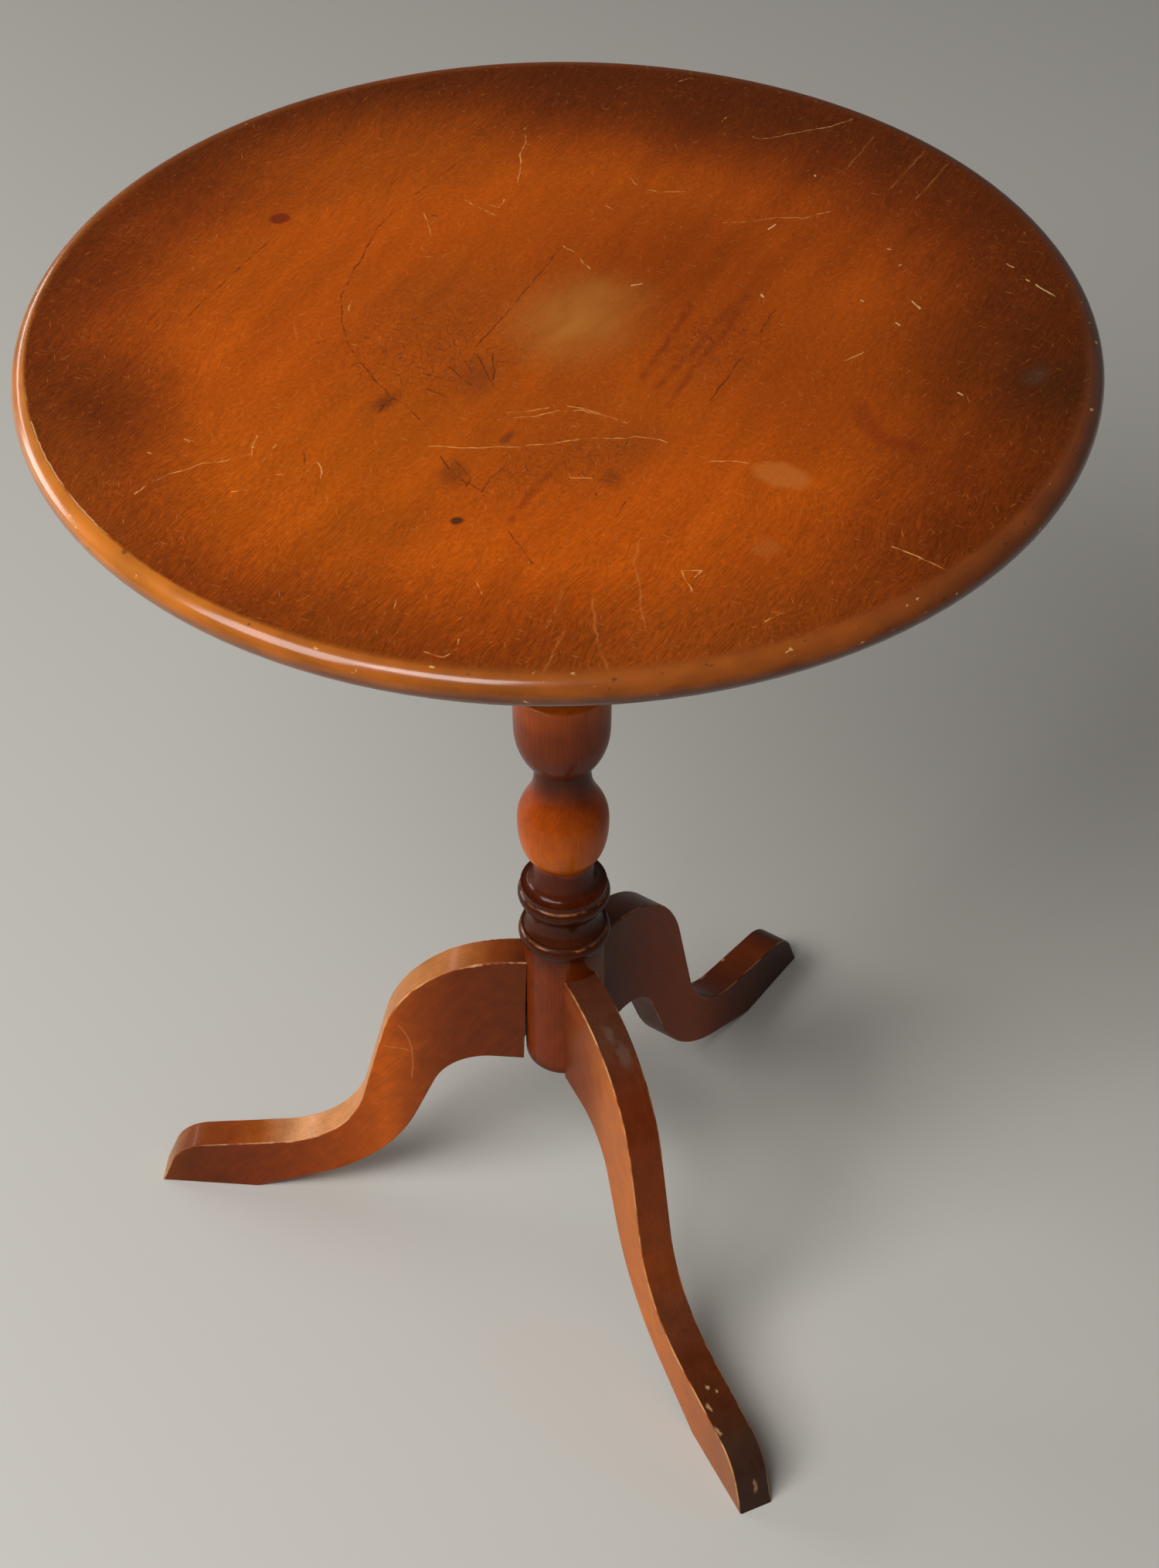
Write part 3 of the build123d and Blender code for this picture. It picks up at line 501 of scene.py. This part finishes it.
def makeTopMaterial():
    material, tree = newMaterial("tonedMapleLacquer")
    point = surfacePoint(tree)
    flat = addNode(tree, "ShaderNodeVectorMath", {0: point, 1: (1, 1, 0)}, operation="MULTIPLY")
    height = addNode(tree, "ShaderNodeSeparateXYZ", {0: point}).outputs["Z"]
    radius = addNode(tree, "ShaderNodeVectorMath", {0: flat}, operation="LENGTH")

    # sprayed shading: a radial ramp with a cloudy edge, then the soft areas
    cloud = grain(tree, flat, [top["burstPatch"]] * 3, detail=3.0)
    burst = addNode(tree, "ShaderNodeVectorMath", {0: flat, 1: top["burstCentre"]}, operation="DISTANCE")
    drift = top["burstDrift"]
    shifted = addNode(tree, "ShaderNodeMath", {0: cloud, 1: drift, 2: burst}, operation="MULTIPLY_ADD")
    reach = drift / 2 + top["burstReach"]
    share = addNode(tree, "ShaderNodeMapRange", {0: shifted, 1: drift / 2, 2: reach})
    colour = addNode(tree, "ShaderNodeValToRGB", {0: share}, stops=top["burst"])
    for centre, radii, over, strength in top["clouds"]:
        mask = ovalMask(tree, flat, centre, radii, strength=strength)
        colour = addNode(tree, "ShaderNodeMix", {0: mask, 6: colour, 7: over}, data_type="RGBA")

    # figure: broad soft bands, then short fibres, all along the boards and slightly wandering
    along = addNode(
        tree,
        "ShaderNodeVectorRotate",
        {"Vector": wander(tree, flat, patch=70, reach=12), "Angle": math.radians(-top["grainAngle"])},
        rotation_type="Z_AXIS",
    )
    bands = grain(tree, along, top["band"], detail=4.0)
    fibres = grain(tree, along, top["fibre"])
    mottle = grain(tree, flat, [top["mottlePatch"]] * 3, detail=3.0)
    colour = shadeBy(tree, colour, ((bands, 0.88, 1.1), (mottle, 0.9, 1.1)))
    inner, outer = top["fibreDepthRadii"]
    shallow, deep = top["fibreDepth"]
    fibreDepth = addNode(
        tree, "ShaderNodeMapRange", {0: radius, 1: inner, 2: outer, 3: shallow, 4: deep}
    )
    fibreSwing = addNode(tree, "ShaderNodeMapRange", {0: fibres, 1: 0.25, 2: 0.75, 3: -1.0, 4: 1.0})
    fibreTone = addNode(
        tree, "ShaderNodeMath", {0: fibreSwing, 1: fibreDepth, 2: 1.0}, operation="MULTIPLY_ADD"
    )
    colour = addNode(tree, "ShaderNodeVectorMath", {0: colour, "Scale": fibreTone}, operation="SCALE")

    # the haze, with the grain showing through it
    hazeGrain = grain(tree, along, (30, 12, 12))
    hazeBreaks = addNode(tree, "ShaderNodeMapRange", {0: hazeGrain, 1: 0.3, 2: 0.7, 3: 0.55, 4: 1.0})
    haze = ovalMask(tree, wander(tree, flat, patch=25, reach=9), *top["haze"])
    haze = addNode(tree, "ShaderNodeMath", {0: haze, 1: hazeBreaks}, operation="MULTIPLY")
    overlays = [(haze, top["hazeColour"])]

    # hairlines, dirty in the scuffed areas
    dirty = 0.0
    for centre, radii in top["scuffed"]:
        mask = ovalMask(tree, flat, centre, radii, strength=top["scuffedStrength"])
        dirty = addNode(tree, "ShaderNodeMath", {0: dirty, 1: mask}, operation="MAXIMUM")
    cleanColour, dirtyColour = top["hairlineColours"]
    for direction in top["hairlines"]:
        turned = addNode(
            tree,
            "ShaderNodeVectorRotate",
            {"Vector": flat, "Angle": math.radians(-direction)},
            rotation_type="Z_AXIS",
        )
        lines = grain(tree, turned, top["hairlineSize"], detail=1.0)
        clean = addNode(
            tree, "ShaderNodeMapRange", {0: lines, 1: 0.715, 2: 0.78, 3: 0.0, 4: top["hairlineStrength"]}
        )
        overlays.append((clean, cleanColour))
        soiled = addNode(tree, "ShaderNodeMapRange", {0: lines, 1: 0.37, 2: 0.31, 3: 0.0, 4: dirty})
        overlays.append((soiled, dirtyColour))

    # the spots and the marks
    drawn = wander(tree, flat, patch=9, reach=1.5)
    gaps = grain(tree, flat, (11, 11, 11), detail=5.0)
    broken = addNode(tree, "ShaderNodeMapRange", {0: gaps, 1: 0.36, 2: 0.56, 3: 0.2, 4: 1.0})
    for centre, radii, turn, soft, strength, over in top["spots"]:
        overlays.append((ovalMask(tree, drawn, centre, radii, turn, soft, strength), over))
    for name, (halfWidth, softness, strength, over, breaksOff) in top["marks"].items():
        mask = strokeMask(tree, drawn, top[name], halfWidth, softness, strength)
        if breaksOff:
            mask = addNode(tree, "ShaderNodeMath", {0: mask, 1: broken}, operation="MULTIPLY")
        overlays.append((mask, over))

    # how far round towards the worn and lit side, from -1 to 1 at the rim
    toward = math.radians(top["noseWornAndLitToward"])
    perRadius = 2 / (topHigh.x - topLow.x)
    around = addNode(
        tree,
        "ShaderNodeVectorMath",
        {0: flat, 1: (math.cos(toward) * perRadius, math.sin(toward) * perRadius, 0)},
        operation="DOT_PRODUCT",
    )

    # the nose: honey-coloured on its worn side and lightened there as painted light, browner round the
    # other as painted shade, its lower half darkened as painted shade, with nicks and dents
    noseShare = addNode(tree, "ShaderNodeMapRange", {0: around, 1: -1.0, 2: 1.0})
    nose = addNode(tree, "ShaderNodeValToRGB", {0: noseShare}, stops=top["noseColours"])
    uneven = grain(tree, point, top["nosePatch"], detail=3.0)
    nose = shadeBy(tree, nose, ((uneven, *top["noseTone"]),))
    # painted shade on the nose's lower half, weaker on the lit side
    drift = top["noseLowerDrift"]
    shifting = addNode(tree, "ShaderNodeMath", {0: uneven, 1: drift, 2: height}, operation="MULTIPLY_ADD")
    high, low = (limit + drift / 2 for limit in top["noseLower"])
    noseShadeStrength = addNode(tree, "ShaderNodeMapRange", {0: around, 1: 0.4, 2: 1.0, 3: 0.85, 4: 0.4})
    paintedNoseShade = addNode(
        tree, "ShaderNodeMapRange", {0: shifting, 1: high, 2: low, 3: 0.0, 4: noseShadeStrength}
    )
    nick = grain(tree, point, top["nickPatch"], detail=3.0)
    fresh = addNode(tree, "ShaderNodeMapRange", {0: nick, 1: 0.7, 2: 0.74, 3: 0.0, 4: 0.7})
    dented = addNode(tree, "ShaderNodeMapRange", {0: nick, 1: 0.31, 2: 0.27, 3: 0.0, 4: 0.6})
    freshColour, dentColour = top["nickColours"]
    for mask, over in (
        (paintedNoseShade, top["noseShadeColour"]),
        (fresh, freshColour),
        (dented, dentColour),
    ):
        nose = addNode(tree, "ShaderNodeMix", {0: mask, 6: nose, 7: over}, data_type="RGBA")

    # the ragged edge between face and nose
    ragged = grain(tree, flat, (6, 6, 6), detail=4.0)
    edge = addNode(
        tree, "ShaderNodeMath", {0: ragged, 1: top["noseRagged"], 2: radius}, operation="MULTIPLY_ADD"
    )
    start = top["flatRadius"] + top["noseRagged"] / 2
    first, full = (
        addNode(tree, "ShaderNodeMapRange", {0: around, 1: 0.5, 2: 0.9, 3: start + away, 4: start + worn})
        for away, worn in (top["noseStart"], top["noseFull"])
    )
    onNose = addNode(
        tree, "ShaderNodeMapRange", {0: edge, 1: first, 2: full}, interpolation_type="SMOOTHSTEP"
    )
    overlays.append((onNose, nose))

    # a pale ragged line where the finish ends at the nose on the worn and lit side
    line = addNode(tree, "ShaderNodeMapRange", {0: edge, 1: start - 1.1, 2: start - 0.7})
    lineBreaks = grain(tree, flat, (30, 30, 30))
    for source, values in (
        (edge, {1: start - 0.5, 2: start - 0.1, 3: 1.0, 4: 0.0}),
        (lineBreaks, {1: 0.42, 2: 0.5}),
        (around, {1: 0.93, 2: 0.96, 3: 0.0, 4: 0.75}),
    ):
        factor = addNode(tree, "ShaderNodeMapRange", {0: source, **values})
        line = addNode(tree, "ShaderNodeMath", {0: line, 1: factor}, operation="MULTIPLY")
    overlays.append((line, top["rubbedLineColour"]))

    # the underside, with the boards' bands and fibres showing
    skin = topLow.z + top["undersideSkin"]
    below = addNode(tree, "ShaderNodeMapRange", {0: height, 1: topLow.z + 0.2, 2: skin, 3: 1.0, 4: 0.0})
    dullBands = addNode(tree, "ShaderNodeMapRange", {0: bands, 1: 0.35, 2: 0.62})
    pale, deep = top["underside"]
    under = addNode(tree, "ShaderNodeMix", {0: dullBands, 6: pale, 7: deep}, data_type="RGBA")
    under = shadeBy(tree, under, ((fibres, 0.82, 1.18),))
    overlays.append((below, under))
    for mask, over in overlays:
        colour = addNode(tree, "ShaderNodeMix", {0: mask, 6: colour, 7: over}, data_type="RGBA")

    # satin film on the face, glossy on the nose, and hardly any film below
    smooth, rough = top["faceRoughness"]
    film = addNode(tree, "ShaderNodeMapRange", {0: mottle, 1: 0.3, 2: 0.7, 3: smooth, 4: rough})
    roughness = addNode(tree, "ShaderNodeMix", {0: onNose, 2: film, 3: top["noseRoughness"]})
    roughness = addNode(tree, "ShaderNodeMix", {0: below, 2: roughness, 3: top["undersideRoughness"]})
    gloss = addNode(tree, "ShaderNodeMix", {0: onNose, 2: 0.0, 3: top["noseCoat"]})
    gloss = addNode(tree, "ShaderNodeMath", {0: gloss, 1: below}, operation="SUBTRACT", use_clamp=True)
    closeMaterial(
        tree,
        fibres,
        top["reliefMm"],
        {
            "Base Color": colour,
            "Roughness": roughness,
            "Specular IOR Level": top["specular"],
            "Coat Weight": gloss,
            "Coat Roughness": top["coatRoughness"],
        },
    )
    return material


dress(["table_top"], makeTopMaterial())
print("top finished")

# Turned maple under a glossy sprayed lacquer: the film is clear over the bulb, which shows bright orange,
# and the colour is dark brown in the coves. The cup's upper part and lip, which sit in the top's shade, are
# lightened with painted light.
column = {
    "grain": (1.4, 1.4, 45.0),  # mm round, across and up the wood
    "mottle": (9.0, 9.0, 14.0),
    "drift": 5.0,  # how far the shading wanders up and down
    "driftPatch": (22, 22, 30),
    # height above the floor and colour: sprayed shading, darker in the coves, with painted light on the
    # cup's upper part and lip
    "toneAndPaintedLight": (
        (146, "#441902"),
        (158, "#712a02"),
        (236, "#6c2802"),
        (247, "#531e02"),
        (254, "#3e1602"),
        (292, "#3b1402"),
        (302, "#481702"),
        (314, "#4f1802"),
        (320, "#8d3902"),
        (327, "#b75503"),
        (344, "#b34f03"),
        (356, "#a34503"),
        (370, "#923902"),
        (380, "#622302"),
        (390, "#431802"),
        (398, "#4e1c02"),
        (416, "#6c2802"),
        # from here up to the lip the colours are lightened as painted light, where the top shades the cup
        (434, "#7e3202"),
        (448, "#9f4207"),
        (456, "#a64a11"),
        (464, "#662402"),
    ),
    "wornEdges": (260.6, 283.2, 292.8, 454.0),  # heights of the rubbed rings and lip
    "wornHalfWidth": 0.7,
    "wornColour": "#b06c3c",
    "wornStrength": 0.6,
    "reliefMm": 0.05,
    "roughness": (0.3, 0.4),
    "specular": 0.04,
    "coat": 0.32,
    "coatRoughness": 0.16,
}


def makeColumnMaterial():
    material, tree = newMaterial("turnedMapleLacquer")
    point = surfacePoint(tree)
    height = addNode(tree, "ShaderNodeSeparateXYZ", {0: point}).outputs["Z"]

    # a ramp up the column
    noise = grain(tree, point, column["driftPatch"])
    drift = column["drift"]
    drifted = addNode(tree, "ShaderNodeMath", {0: noise, 1: 2 * drift, 2: height}, operation="MULTIPLY_ADD")
    low = column["toneAndPaintedLight"][0][0]
    high = column["toneAndPaintedLight"][-1][0]
    share = addNode(tree, "ShaderNodeMapRange", {0: drifted, 1: low + drift, 2: high + drift})
    stops = [((z - low) / (high - low), hexColour) for z, hexColour in column["toneAndPaintedLight"]]
    colour = addNode(tree, "ShaderNodeValToRGB", {0: share}, stops=stops)
    fibres = grain(tree, point, column["grain"], detail=3.0)
    mottle = grain(tree, point, column["mottle"], detail=3.0)
    colour = shadeBy(tree, colour, ((fibres, 0.86, 1.14), (mottle, 0.86, 1.12)))

    # the rings and the lip are rubbed lighter, in broken lines
    breaks = grain(tree, point, (9, 9, 3), detail=3.0)
    strength = column["wornStrength"]
    worn = addNode(tree, "ShaderNodeMapRange", {0: breaks, 1: 0.46, 2: 0.6, 3: 0.0, 4: strength})
    halfWidth = column["wornHalfWidth"]
    for edgeHeight in column["wornEdges"]:
        offset = addNode(tree, "ShaderNodeMath", {0: height, 1: edgeHeight}, operation="SUBTRACT")
        away = addNode(tree, "ShaderNodeMath", {0: offset}, operation="ABSOLUTE")
        near = addNode(
            tree, "ShaderNodeMapRange", {0: away, 1: 0.4 * halfWidth, 2: 1.6 * halfWidth, 3: 1.0, 4: 0.0}
        )
        mask = addNode(tree, "ShaderNodeMath", {0: near, 1: worn}, operation="MULTIPLY")
        colour = addNode(
            tree, "ShaderNodeMix", {0: mask, 6: colour, 7: column["wornColour"]}, data_type="RGBA"
        )
    smooth, rough = column["roughness"]
    roughness = addNode(tree, "ShaderNodeMapRange", {0: mottle, 1: 0.3, 2: 0.7, 3: smooth, 4: rough})
    closeMaterial(
        tree,
        mottle,
        column["reliefMm"],
        {
            "Base Color": colour,
            "Roughness": roughness,
            "Specular IOR Level": column["specular"],
            "Coat Weight": column["coat"],
            "Coat Roughness": column["coatRoughness"],
        },
    )
    return material


dress(["column"], makeColumnMaterial())
print("column finished")

# Legs band-sawn from maple board, edges sanded and everything sprayed: amber on the shin and knee, brown
# at the column and the foot. The lacquer is rubbed through along the arrises. A leg's own axes are s, out
# from the column, t, to its left as it points out, and z, up. The first table is what all three share.
legWood = {
    "angle": -52.0,  # degrees of the board's grain from s, towards the foot
    "fibre": (38.0, 1.3, 1.3),  # mm along and across, as broad as needed to show
    "mottle": (12.0, 12.0, 12.0),
    "firstS": 20.0,  # where the colours out along the leg start and stop
    "lastS": 275.0,
    "drift": 12.0,  # how far they wander in and out
    "driftPatch": (40, 40, 40),
    "wornColour": "#d39c66",
    "scratch": (0.1, 0.7, 0.38, "#d28a45"),  # half width and softness in mm, strength and colour
    "reliefMm": 0.06,
    "roughness": (0.34, 0.46),
    "specular": 0.1,
    "coat": 0.12,
    "coatRoughness": 0.15,
}
legs = {
    "leg_rear_left": {
        "heading": 150.0,  # degrees from X
        "sides": (
            (0.00, "#612704"),
            (0.18, "#6c2a04"),
            (0.28, "#863906"),
            (0.38, "#bb5408"),
            (0.48, "#a44706"),
            (0.60, "#8c3906"),
            (0.76, "#722c04"),
            (0.90, "#632804"),
            (1.00, "#783710"),
        ),
        # the pale stops from 0.30 to 0.62 hold painted sheen on the upper edge at the knee and instep
        "edges": (
            (0.00, "#4a1c06"),
            (0.10, "#75340c"),
            (0.20, "#9c5822"),
            (0.30, "#aa6a34"),
            (0.36, "#b87440"),
            (0.42, "#c4824a"),
            (0.52, "#bd7a46"),
            (0.62, "#c98c5c"),
            (0.72, "#8a4210"),
            (0.80, "#7a3408"),
            (0.93, "#74360e"),
            (1.00, "#a87440"),
        ),
        "worn": 0.75,
        "scratches": (
            ((105, 169), (100, 159), (98, 148), (97.5, 137), (99, 121)),
            ((116, 149), (109, 148), (100.5, 146.5)),
        ),
        "scuffs": (),
    },
    "leg_front": {
        "heading": -90.0,
        "sides": (
            (0.00, "#672a0a"),
            (0.14, "#803b12"),
            (0.26, "#ad5b1e"),
            (0.50, "#ba631c"),
            (0.72, "#a25620"),
            (0.88, "#915026"),
            (1.00, "#885630"),
        ),
        "edges": (
            (0.00, "#502615"),
            (0.20, "#502c1a"),
            (0.34, "#692706"),
            (0.44, "#80380c"),
            (0.54, "#633018"),
            (0.66, "#54250e"),
            (0.78, "#48200c"),
            (0.90, "#3c2415"),
            (1.00, "#362018"),
        ),
        "worn": 0.65,
        "scratches": (),
        # dull rubbed places on the upper edge: s, t, radii along and across, colour
        "scuffs": (
            ((66, -1), (8, 4), "#6b5a52", 0.3),
            ((79, 3), (10, 5), "#6b5a52", 0.3),
            ((209, -2), (2.2, 1.6), "#b98f63", 0.8),
            ((214, 3), (1.6, 1.4), "#b98f63", 0.7),
            ((222, -7), (4, 1.6), "#b98f63", 0.7),
            ((238, -9), (5, 1.4), "#b98f63", 0.7),
            ((268, 2), (3, 2), "#a57c50", 0.7),
        ),
    },
    "leg_rear_right": {
        "heading": 30.0,
        # the whole leg is darkened with painted shade, as it stands on the shaded side
        "sides": (
            (0.00, "#3c1602"),
            (0.25, "#762d06"),
            (0.45, "#8c3b0c"),
            (0.65, "#5a2206"),
            (0.85, "#381402"),
            (1.00, "#301305"),
        ),
        "edges": (
            (0.00, "#451c08"),
            (0.40, "#4e1f06"),
            (0.68, "#5a2206"),
            (0.80, "#6a2a07"),
            (0.92, "#421806"),
            (1.00, "#38170a"),
        ),
        "worn": 0.35,
        "scratches": (),
        "scuffs": (
            ((206, 9), (2.4, 1.4), "#c79a63", 0.8),
            ((179, 10), (7, 1.2), "#b98f63", 0.6),
        ),
    },
}


def makeLegMaterial(name):
    leg = legs[name]
    material, tree = newMaterial("sawnMapleLacquer." + name)
    point = surfacePoint(tree)
    facing = addNode(tree, "ShaderNodeTexCoord").outputs["Normal"]
    turnBack = math.radians(-leg["heading"])
    own = addNode(
        tree, "ShaderNodeVectorRotate", {"Vector": point, "Angle": turnBack}, rotation_type="Z_AXIS"
    )
    ownFacing = addNode(
        tree, "ShaderNodeVectorRotate", {"Vector": facing, "Angle": turnBack}, rotation_type="Z_AXIS"
    )
    parts = addNode(tree, "ShaderNodeSeparateXYZ", {0: own})
    sideways = addNode(tree, "ShaderNodeSeparateXYZ", {0: ownFacing}).outputs["Y"]
    sideways = addNode(tree, "ShaderNodeMath", {0: sideways}, operation="ABSOLUTE")

    # two ramps out along the leg, for the sides and for the sawn edges
    noise = grain(tree, own, legWood["driftPatch"])
    drift = legWood["drift"]
    drifted = addNode(
        tree, "ShaderNodeMath", {0: noise, 1: 2 * drift, 2: parts.outputs["X"]}, operation="MULTIPLY_ADD"
    )
    share = addNode(
        tree, "ShaderNodeMapRange", {0: drifted, 1: legWood["firstS"] + drift, 2: legWood["lastS"] + drift}
    )
    sides = addNode(tree, "ShaderNodeValToRGB", {0: share}, stops=leg["sides"])
    edges = addNode(tree, "ShaderNodeValToRGB", {0: share}, stops=leg["edges"])
    onSide = addNode(tree, "ShaderNodeMapRange", {0: sideways, 1: 0.45, 2: 0.75})
    colour = addNode(tree, "ShaderNodeMix", {0: onSide, 6: edges, 7: sides}, data_type="RGBA")

    # grain runs down the board
    along = addNode(
        tree,
        "ShaderNodeVectorRotate",
        {"Vector": wander(tree, own, patch=60, reach=6), "Angle": math.radians(legWood["angle"])},
        rotation_type="Y_AXIS",
    )
    fibres = grain(tree, along, legWood["fibre"], detail=3.0)
    mottle = grain(tree, own, legWood["mottle"], detail=4.0)
    colour = shadeBy(tree, colour, ((fibres, 0.88, 1.12), (mottle, 0.86, 1.12)))

    # scratches on the left side, scuffs on the upper edge
    overlays = []
    if leg["scratches"]:
        inPlane = addNode(tree, "ShaderNodeCombineXYZ", {0: parts.outputs["X"], 1: parts.outputs["Z"]})
        inPlane = wander(tree, inPlane, patch=12, reach=0.8)
        halfWidth, softness, strength, over = legWood["scratch"]
        scratch = strokeMask(tree, inPlane, leg["scratches"], halfWidth, softness, strength)
        left = addNode(tree, "ShaderNodeMath", {0: parts.outputs["Y"], 1: 0.0}, operation="GREATER_THAN")
        scratch = addNode(tree, "ShaderNodeMath", {0: scratch, 1: left}, operation="MULTIPLY")
        overlays.append((scratch, over))
    if leg["scuffs"]:
        drawn = wander(tree, own, patch=6, reach=2.5)
        notSide = addNode(tree, "ShaderNodeMath", {0: 1.0, 1: onSide}, operation="SUBTRACT")
    for centre, radii, over, strength in leg["scuffs"]:
        scuff = ovalMask(tree, drawn, centre, radii, soft=0.7, strength=strength)
        scuff = addNode(tree, "ShaderNodeMath", {0: scuff, 1: notSide}, operation="MULTIPLY")
        overlays.append((scuff, over))

    # the lacquer is rubbed through in lengths along the arrises
    rising = addNode(tree, "ShaderNodeMapRange", {0: sideways, 1: 0.15, 2: 0.35})
    falling = addNode(tree, "ShaderNodeMapRange", {0: sideways, 1: 0.8, 2: 0.97, 3: 1.0, 4: 0.0})
    lengths = grain(tree, own, (16, 16, 16), detail=4.0)
    rubbed = addNode(tree, "ShaderNodeMapRange", {0: lengths, 1: 0.44, 2: 0.58, 3: 0.0, 4: leg["worn"]})
    arris = addNode(tree, "ShaderNodeMath", {0: rising, 1: falling}, operation="MULTIPLY")
    arris = addNode(tree, "ShaderNodeMath", {0: arris, 1: rubbed}, operation="MULTIPLY")
    overlays.append((arris, legWood["wornColour"]))
    for mask, over in overlays:
        colour = addNode(tree, "ShaderNodeMix", {0: mask, 6: colour, 7: over}, data_type="RGBA")
    smooth, rough = legWood["roughness"]
    roughness = addNode(tree, "ShaderNodeMapRange", {0: mottle, 1: 0.3, 2: 0.7, 3: smooth, 4: rough})
    closeMaterial(
        tree,
        mottle,
        legWood["reliefMm"],
        {
            "Base Color": colour,
            "Roughness": roughness,
            "Specular IOR Level": legWood["specular"],
            "Coat Weight": legWood["coat"],
            "Coat Roughness": legWood["coatRoughness"],
        },
    )
    return material


for name in legs:
    dress([name], makeLegMaterial(name))
print("legs finished")

# The hidden woodwork, each piece with plain straight grain along one axis. Only the block is lacquered;
# the battens are wiped with thin stain and stay matt, and the dowels and wedge are bare pale maple.
woods = {
    "stainedMapleBlock": {
        "nodes": ["pivot_block"],
        "early": "#6b3216",
        "late": "#4d2210",
        "fibre": (60.0, 1.6, 3.0),
        "ringSpacing": 7.0,
        "roughness": (0.38, 0.5),
        "specular": 0.35,
        "reliefMm": 0.06,
    },
    "wipedMapleBatten": {
        "nodes": ["batten_left", "batten_right"],
        "early": "#8a552d",
        "late": "#6c3d1e",
        "fibre": (1.5, 70.0, 1.5),
        "ringSpacing": 9.0,
        "roughness": (0.62, 0.75),
        "specular": 0.25,
        "reliefMm": 0.06,
    },
    "bareMapleDowel": {
        "nodes": ["dowels_front", "dowels_rear_left", "dowels_rear_right", "tenon_wedge"],
        "early": "#d9b886",
        "late": "#bf9760",
        "fibre": (1.0, 1.0, 20.0),
        "ringSpacing": 3.0,
        "roughness": (0.6, 0.72),
        "specular": 0.25,
        "reliefMm": 0.06,
    },
}


def makeWoodMaterial(name):
    wood = woods[name]
    material, tree = newMaterial(name)
    point = surfacePoint(tree)
    fibres = grain(tree, point, wood["fibre"], detail=3.0)
    stretch = [8 if size > 10 else 1 for size in wood["fibre"]]  # rings run far along the fibres
    rings = grain(tree, point, [wood["ringSpacing"] * times for times in stretch])
    late = addNode(tree, "ShaderNodeMapRange", {0: rings, 1: 0.4, 2: 0.62})
    colour = addNode(
        tree, "ShaderNodeMix", {0: late, 6: wood["early"], 7: wood["late"]}, data_type="RGBA"
    )
    colour = shadeBy(tree, colour, ((fibres, 0.84, 1.14),))
    smooth, rough = wood["roughness"]
    roughness = addNode(tree, "ShaderNodeMapRange", {0: rings, 1: 0.3, 2: 0.7, 3: smooth, 4: rough})
    closeMaterial(
        tree,
        fibres,
        wood["reliefMm"],
        {
            "Base Color": colour,
            "Roughness": roughness,
            "Specular IOR Level": wood["specular"],
        },
    )
    return material


for name, wood in woods.items():
    dress(wood["nodes"], makeWoodMaterial(name))
print("hidden woodwork finished")

# Metals: brass long out of its lacquer, dull yellow with brown tarnish in patches; zinc-plated steel,
# grey with a slightly cloudy bloom; and hard-drawn spring steel, darker, with fine lines along the wire.
metals = {
    "agedBrass": {
        "nodes": [
            "catch_plate",
            "catch_screws",
            "catch_housing",
            "catch_bolt",
            "catch_knob",
            "strike_plate",
            "strike_screws",
        ],
        "bright": "#b08d4a",
        "dull": "#6b4e2a",
        "patch": (5.0, 5.0, 5.0),
        "roughness": (0.28, 0.5),
        "reliefMm": 0.01,
    },
    "zincPlatedSteel": {
        "nodes": [
            "batten_screws_left",
            "batten_screws_right",
            "pivot_screw_left",
            "pivot_screw_right",
            "pivot_washer_left",
            "pivot_washer_right",
        ],
        "bright": "#b4b5b1",
        "dull": "#84827c",
        "patch": (3.0, 3.0, 3.0),
        "roughness": (0.3, 0.45),
        "reliefMm": 0.01,
    },
    "drawnSpringSteel": {
        "nodes": ["catch_spring"],
        "bright": "#7d8083",
        "dull": "#56575a",
        "patch": (0.6, 0.6, 0.6),
        "roughness": (0.25, 0.38),
        "reliefMm": 0.01,
    },
}


def makeMetalMaterial(name):
    metal = metals[name]
    material, tree = newMaterial(name)
    point = surfacePoint(tree)
    patches = grain(tree, point, metal["patch"], detail=5.0)
    dull = addNode(tree, "ShaderNodeMapRange", {0: patches, 1: 0.42, 2: 0.62})
    colour = addNode(
        tree, "ShaderNodeMix", {0: dull, 6: metal["bright"], 7: metal["dull"]}, data_type="RGBA"
    )
    smooth, rough = metal["roughness"]
    roughness = addNode(tree, "ShaderNodeMapRange", {0: patches, 1: 0.4, 2: 0.65, 3: smooth, 4: rough})
    closeMaterial(
        tree,
        patches,
        metal["reliefMm"],
        {
            "Base Color": colour,
            "Metallic": 1.0,
            "Roughness": roughness,
        },
    )
    return material


for name, metal in metals.items():
    dress(metal["nodes"], makeMetalMaterial(name))
print("metal finished")
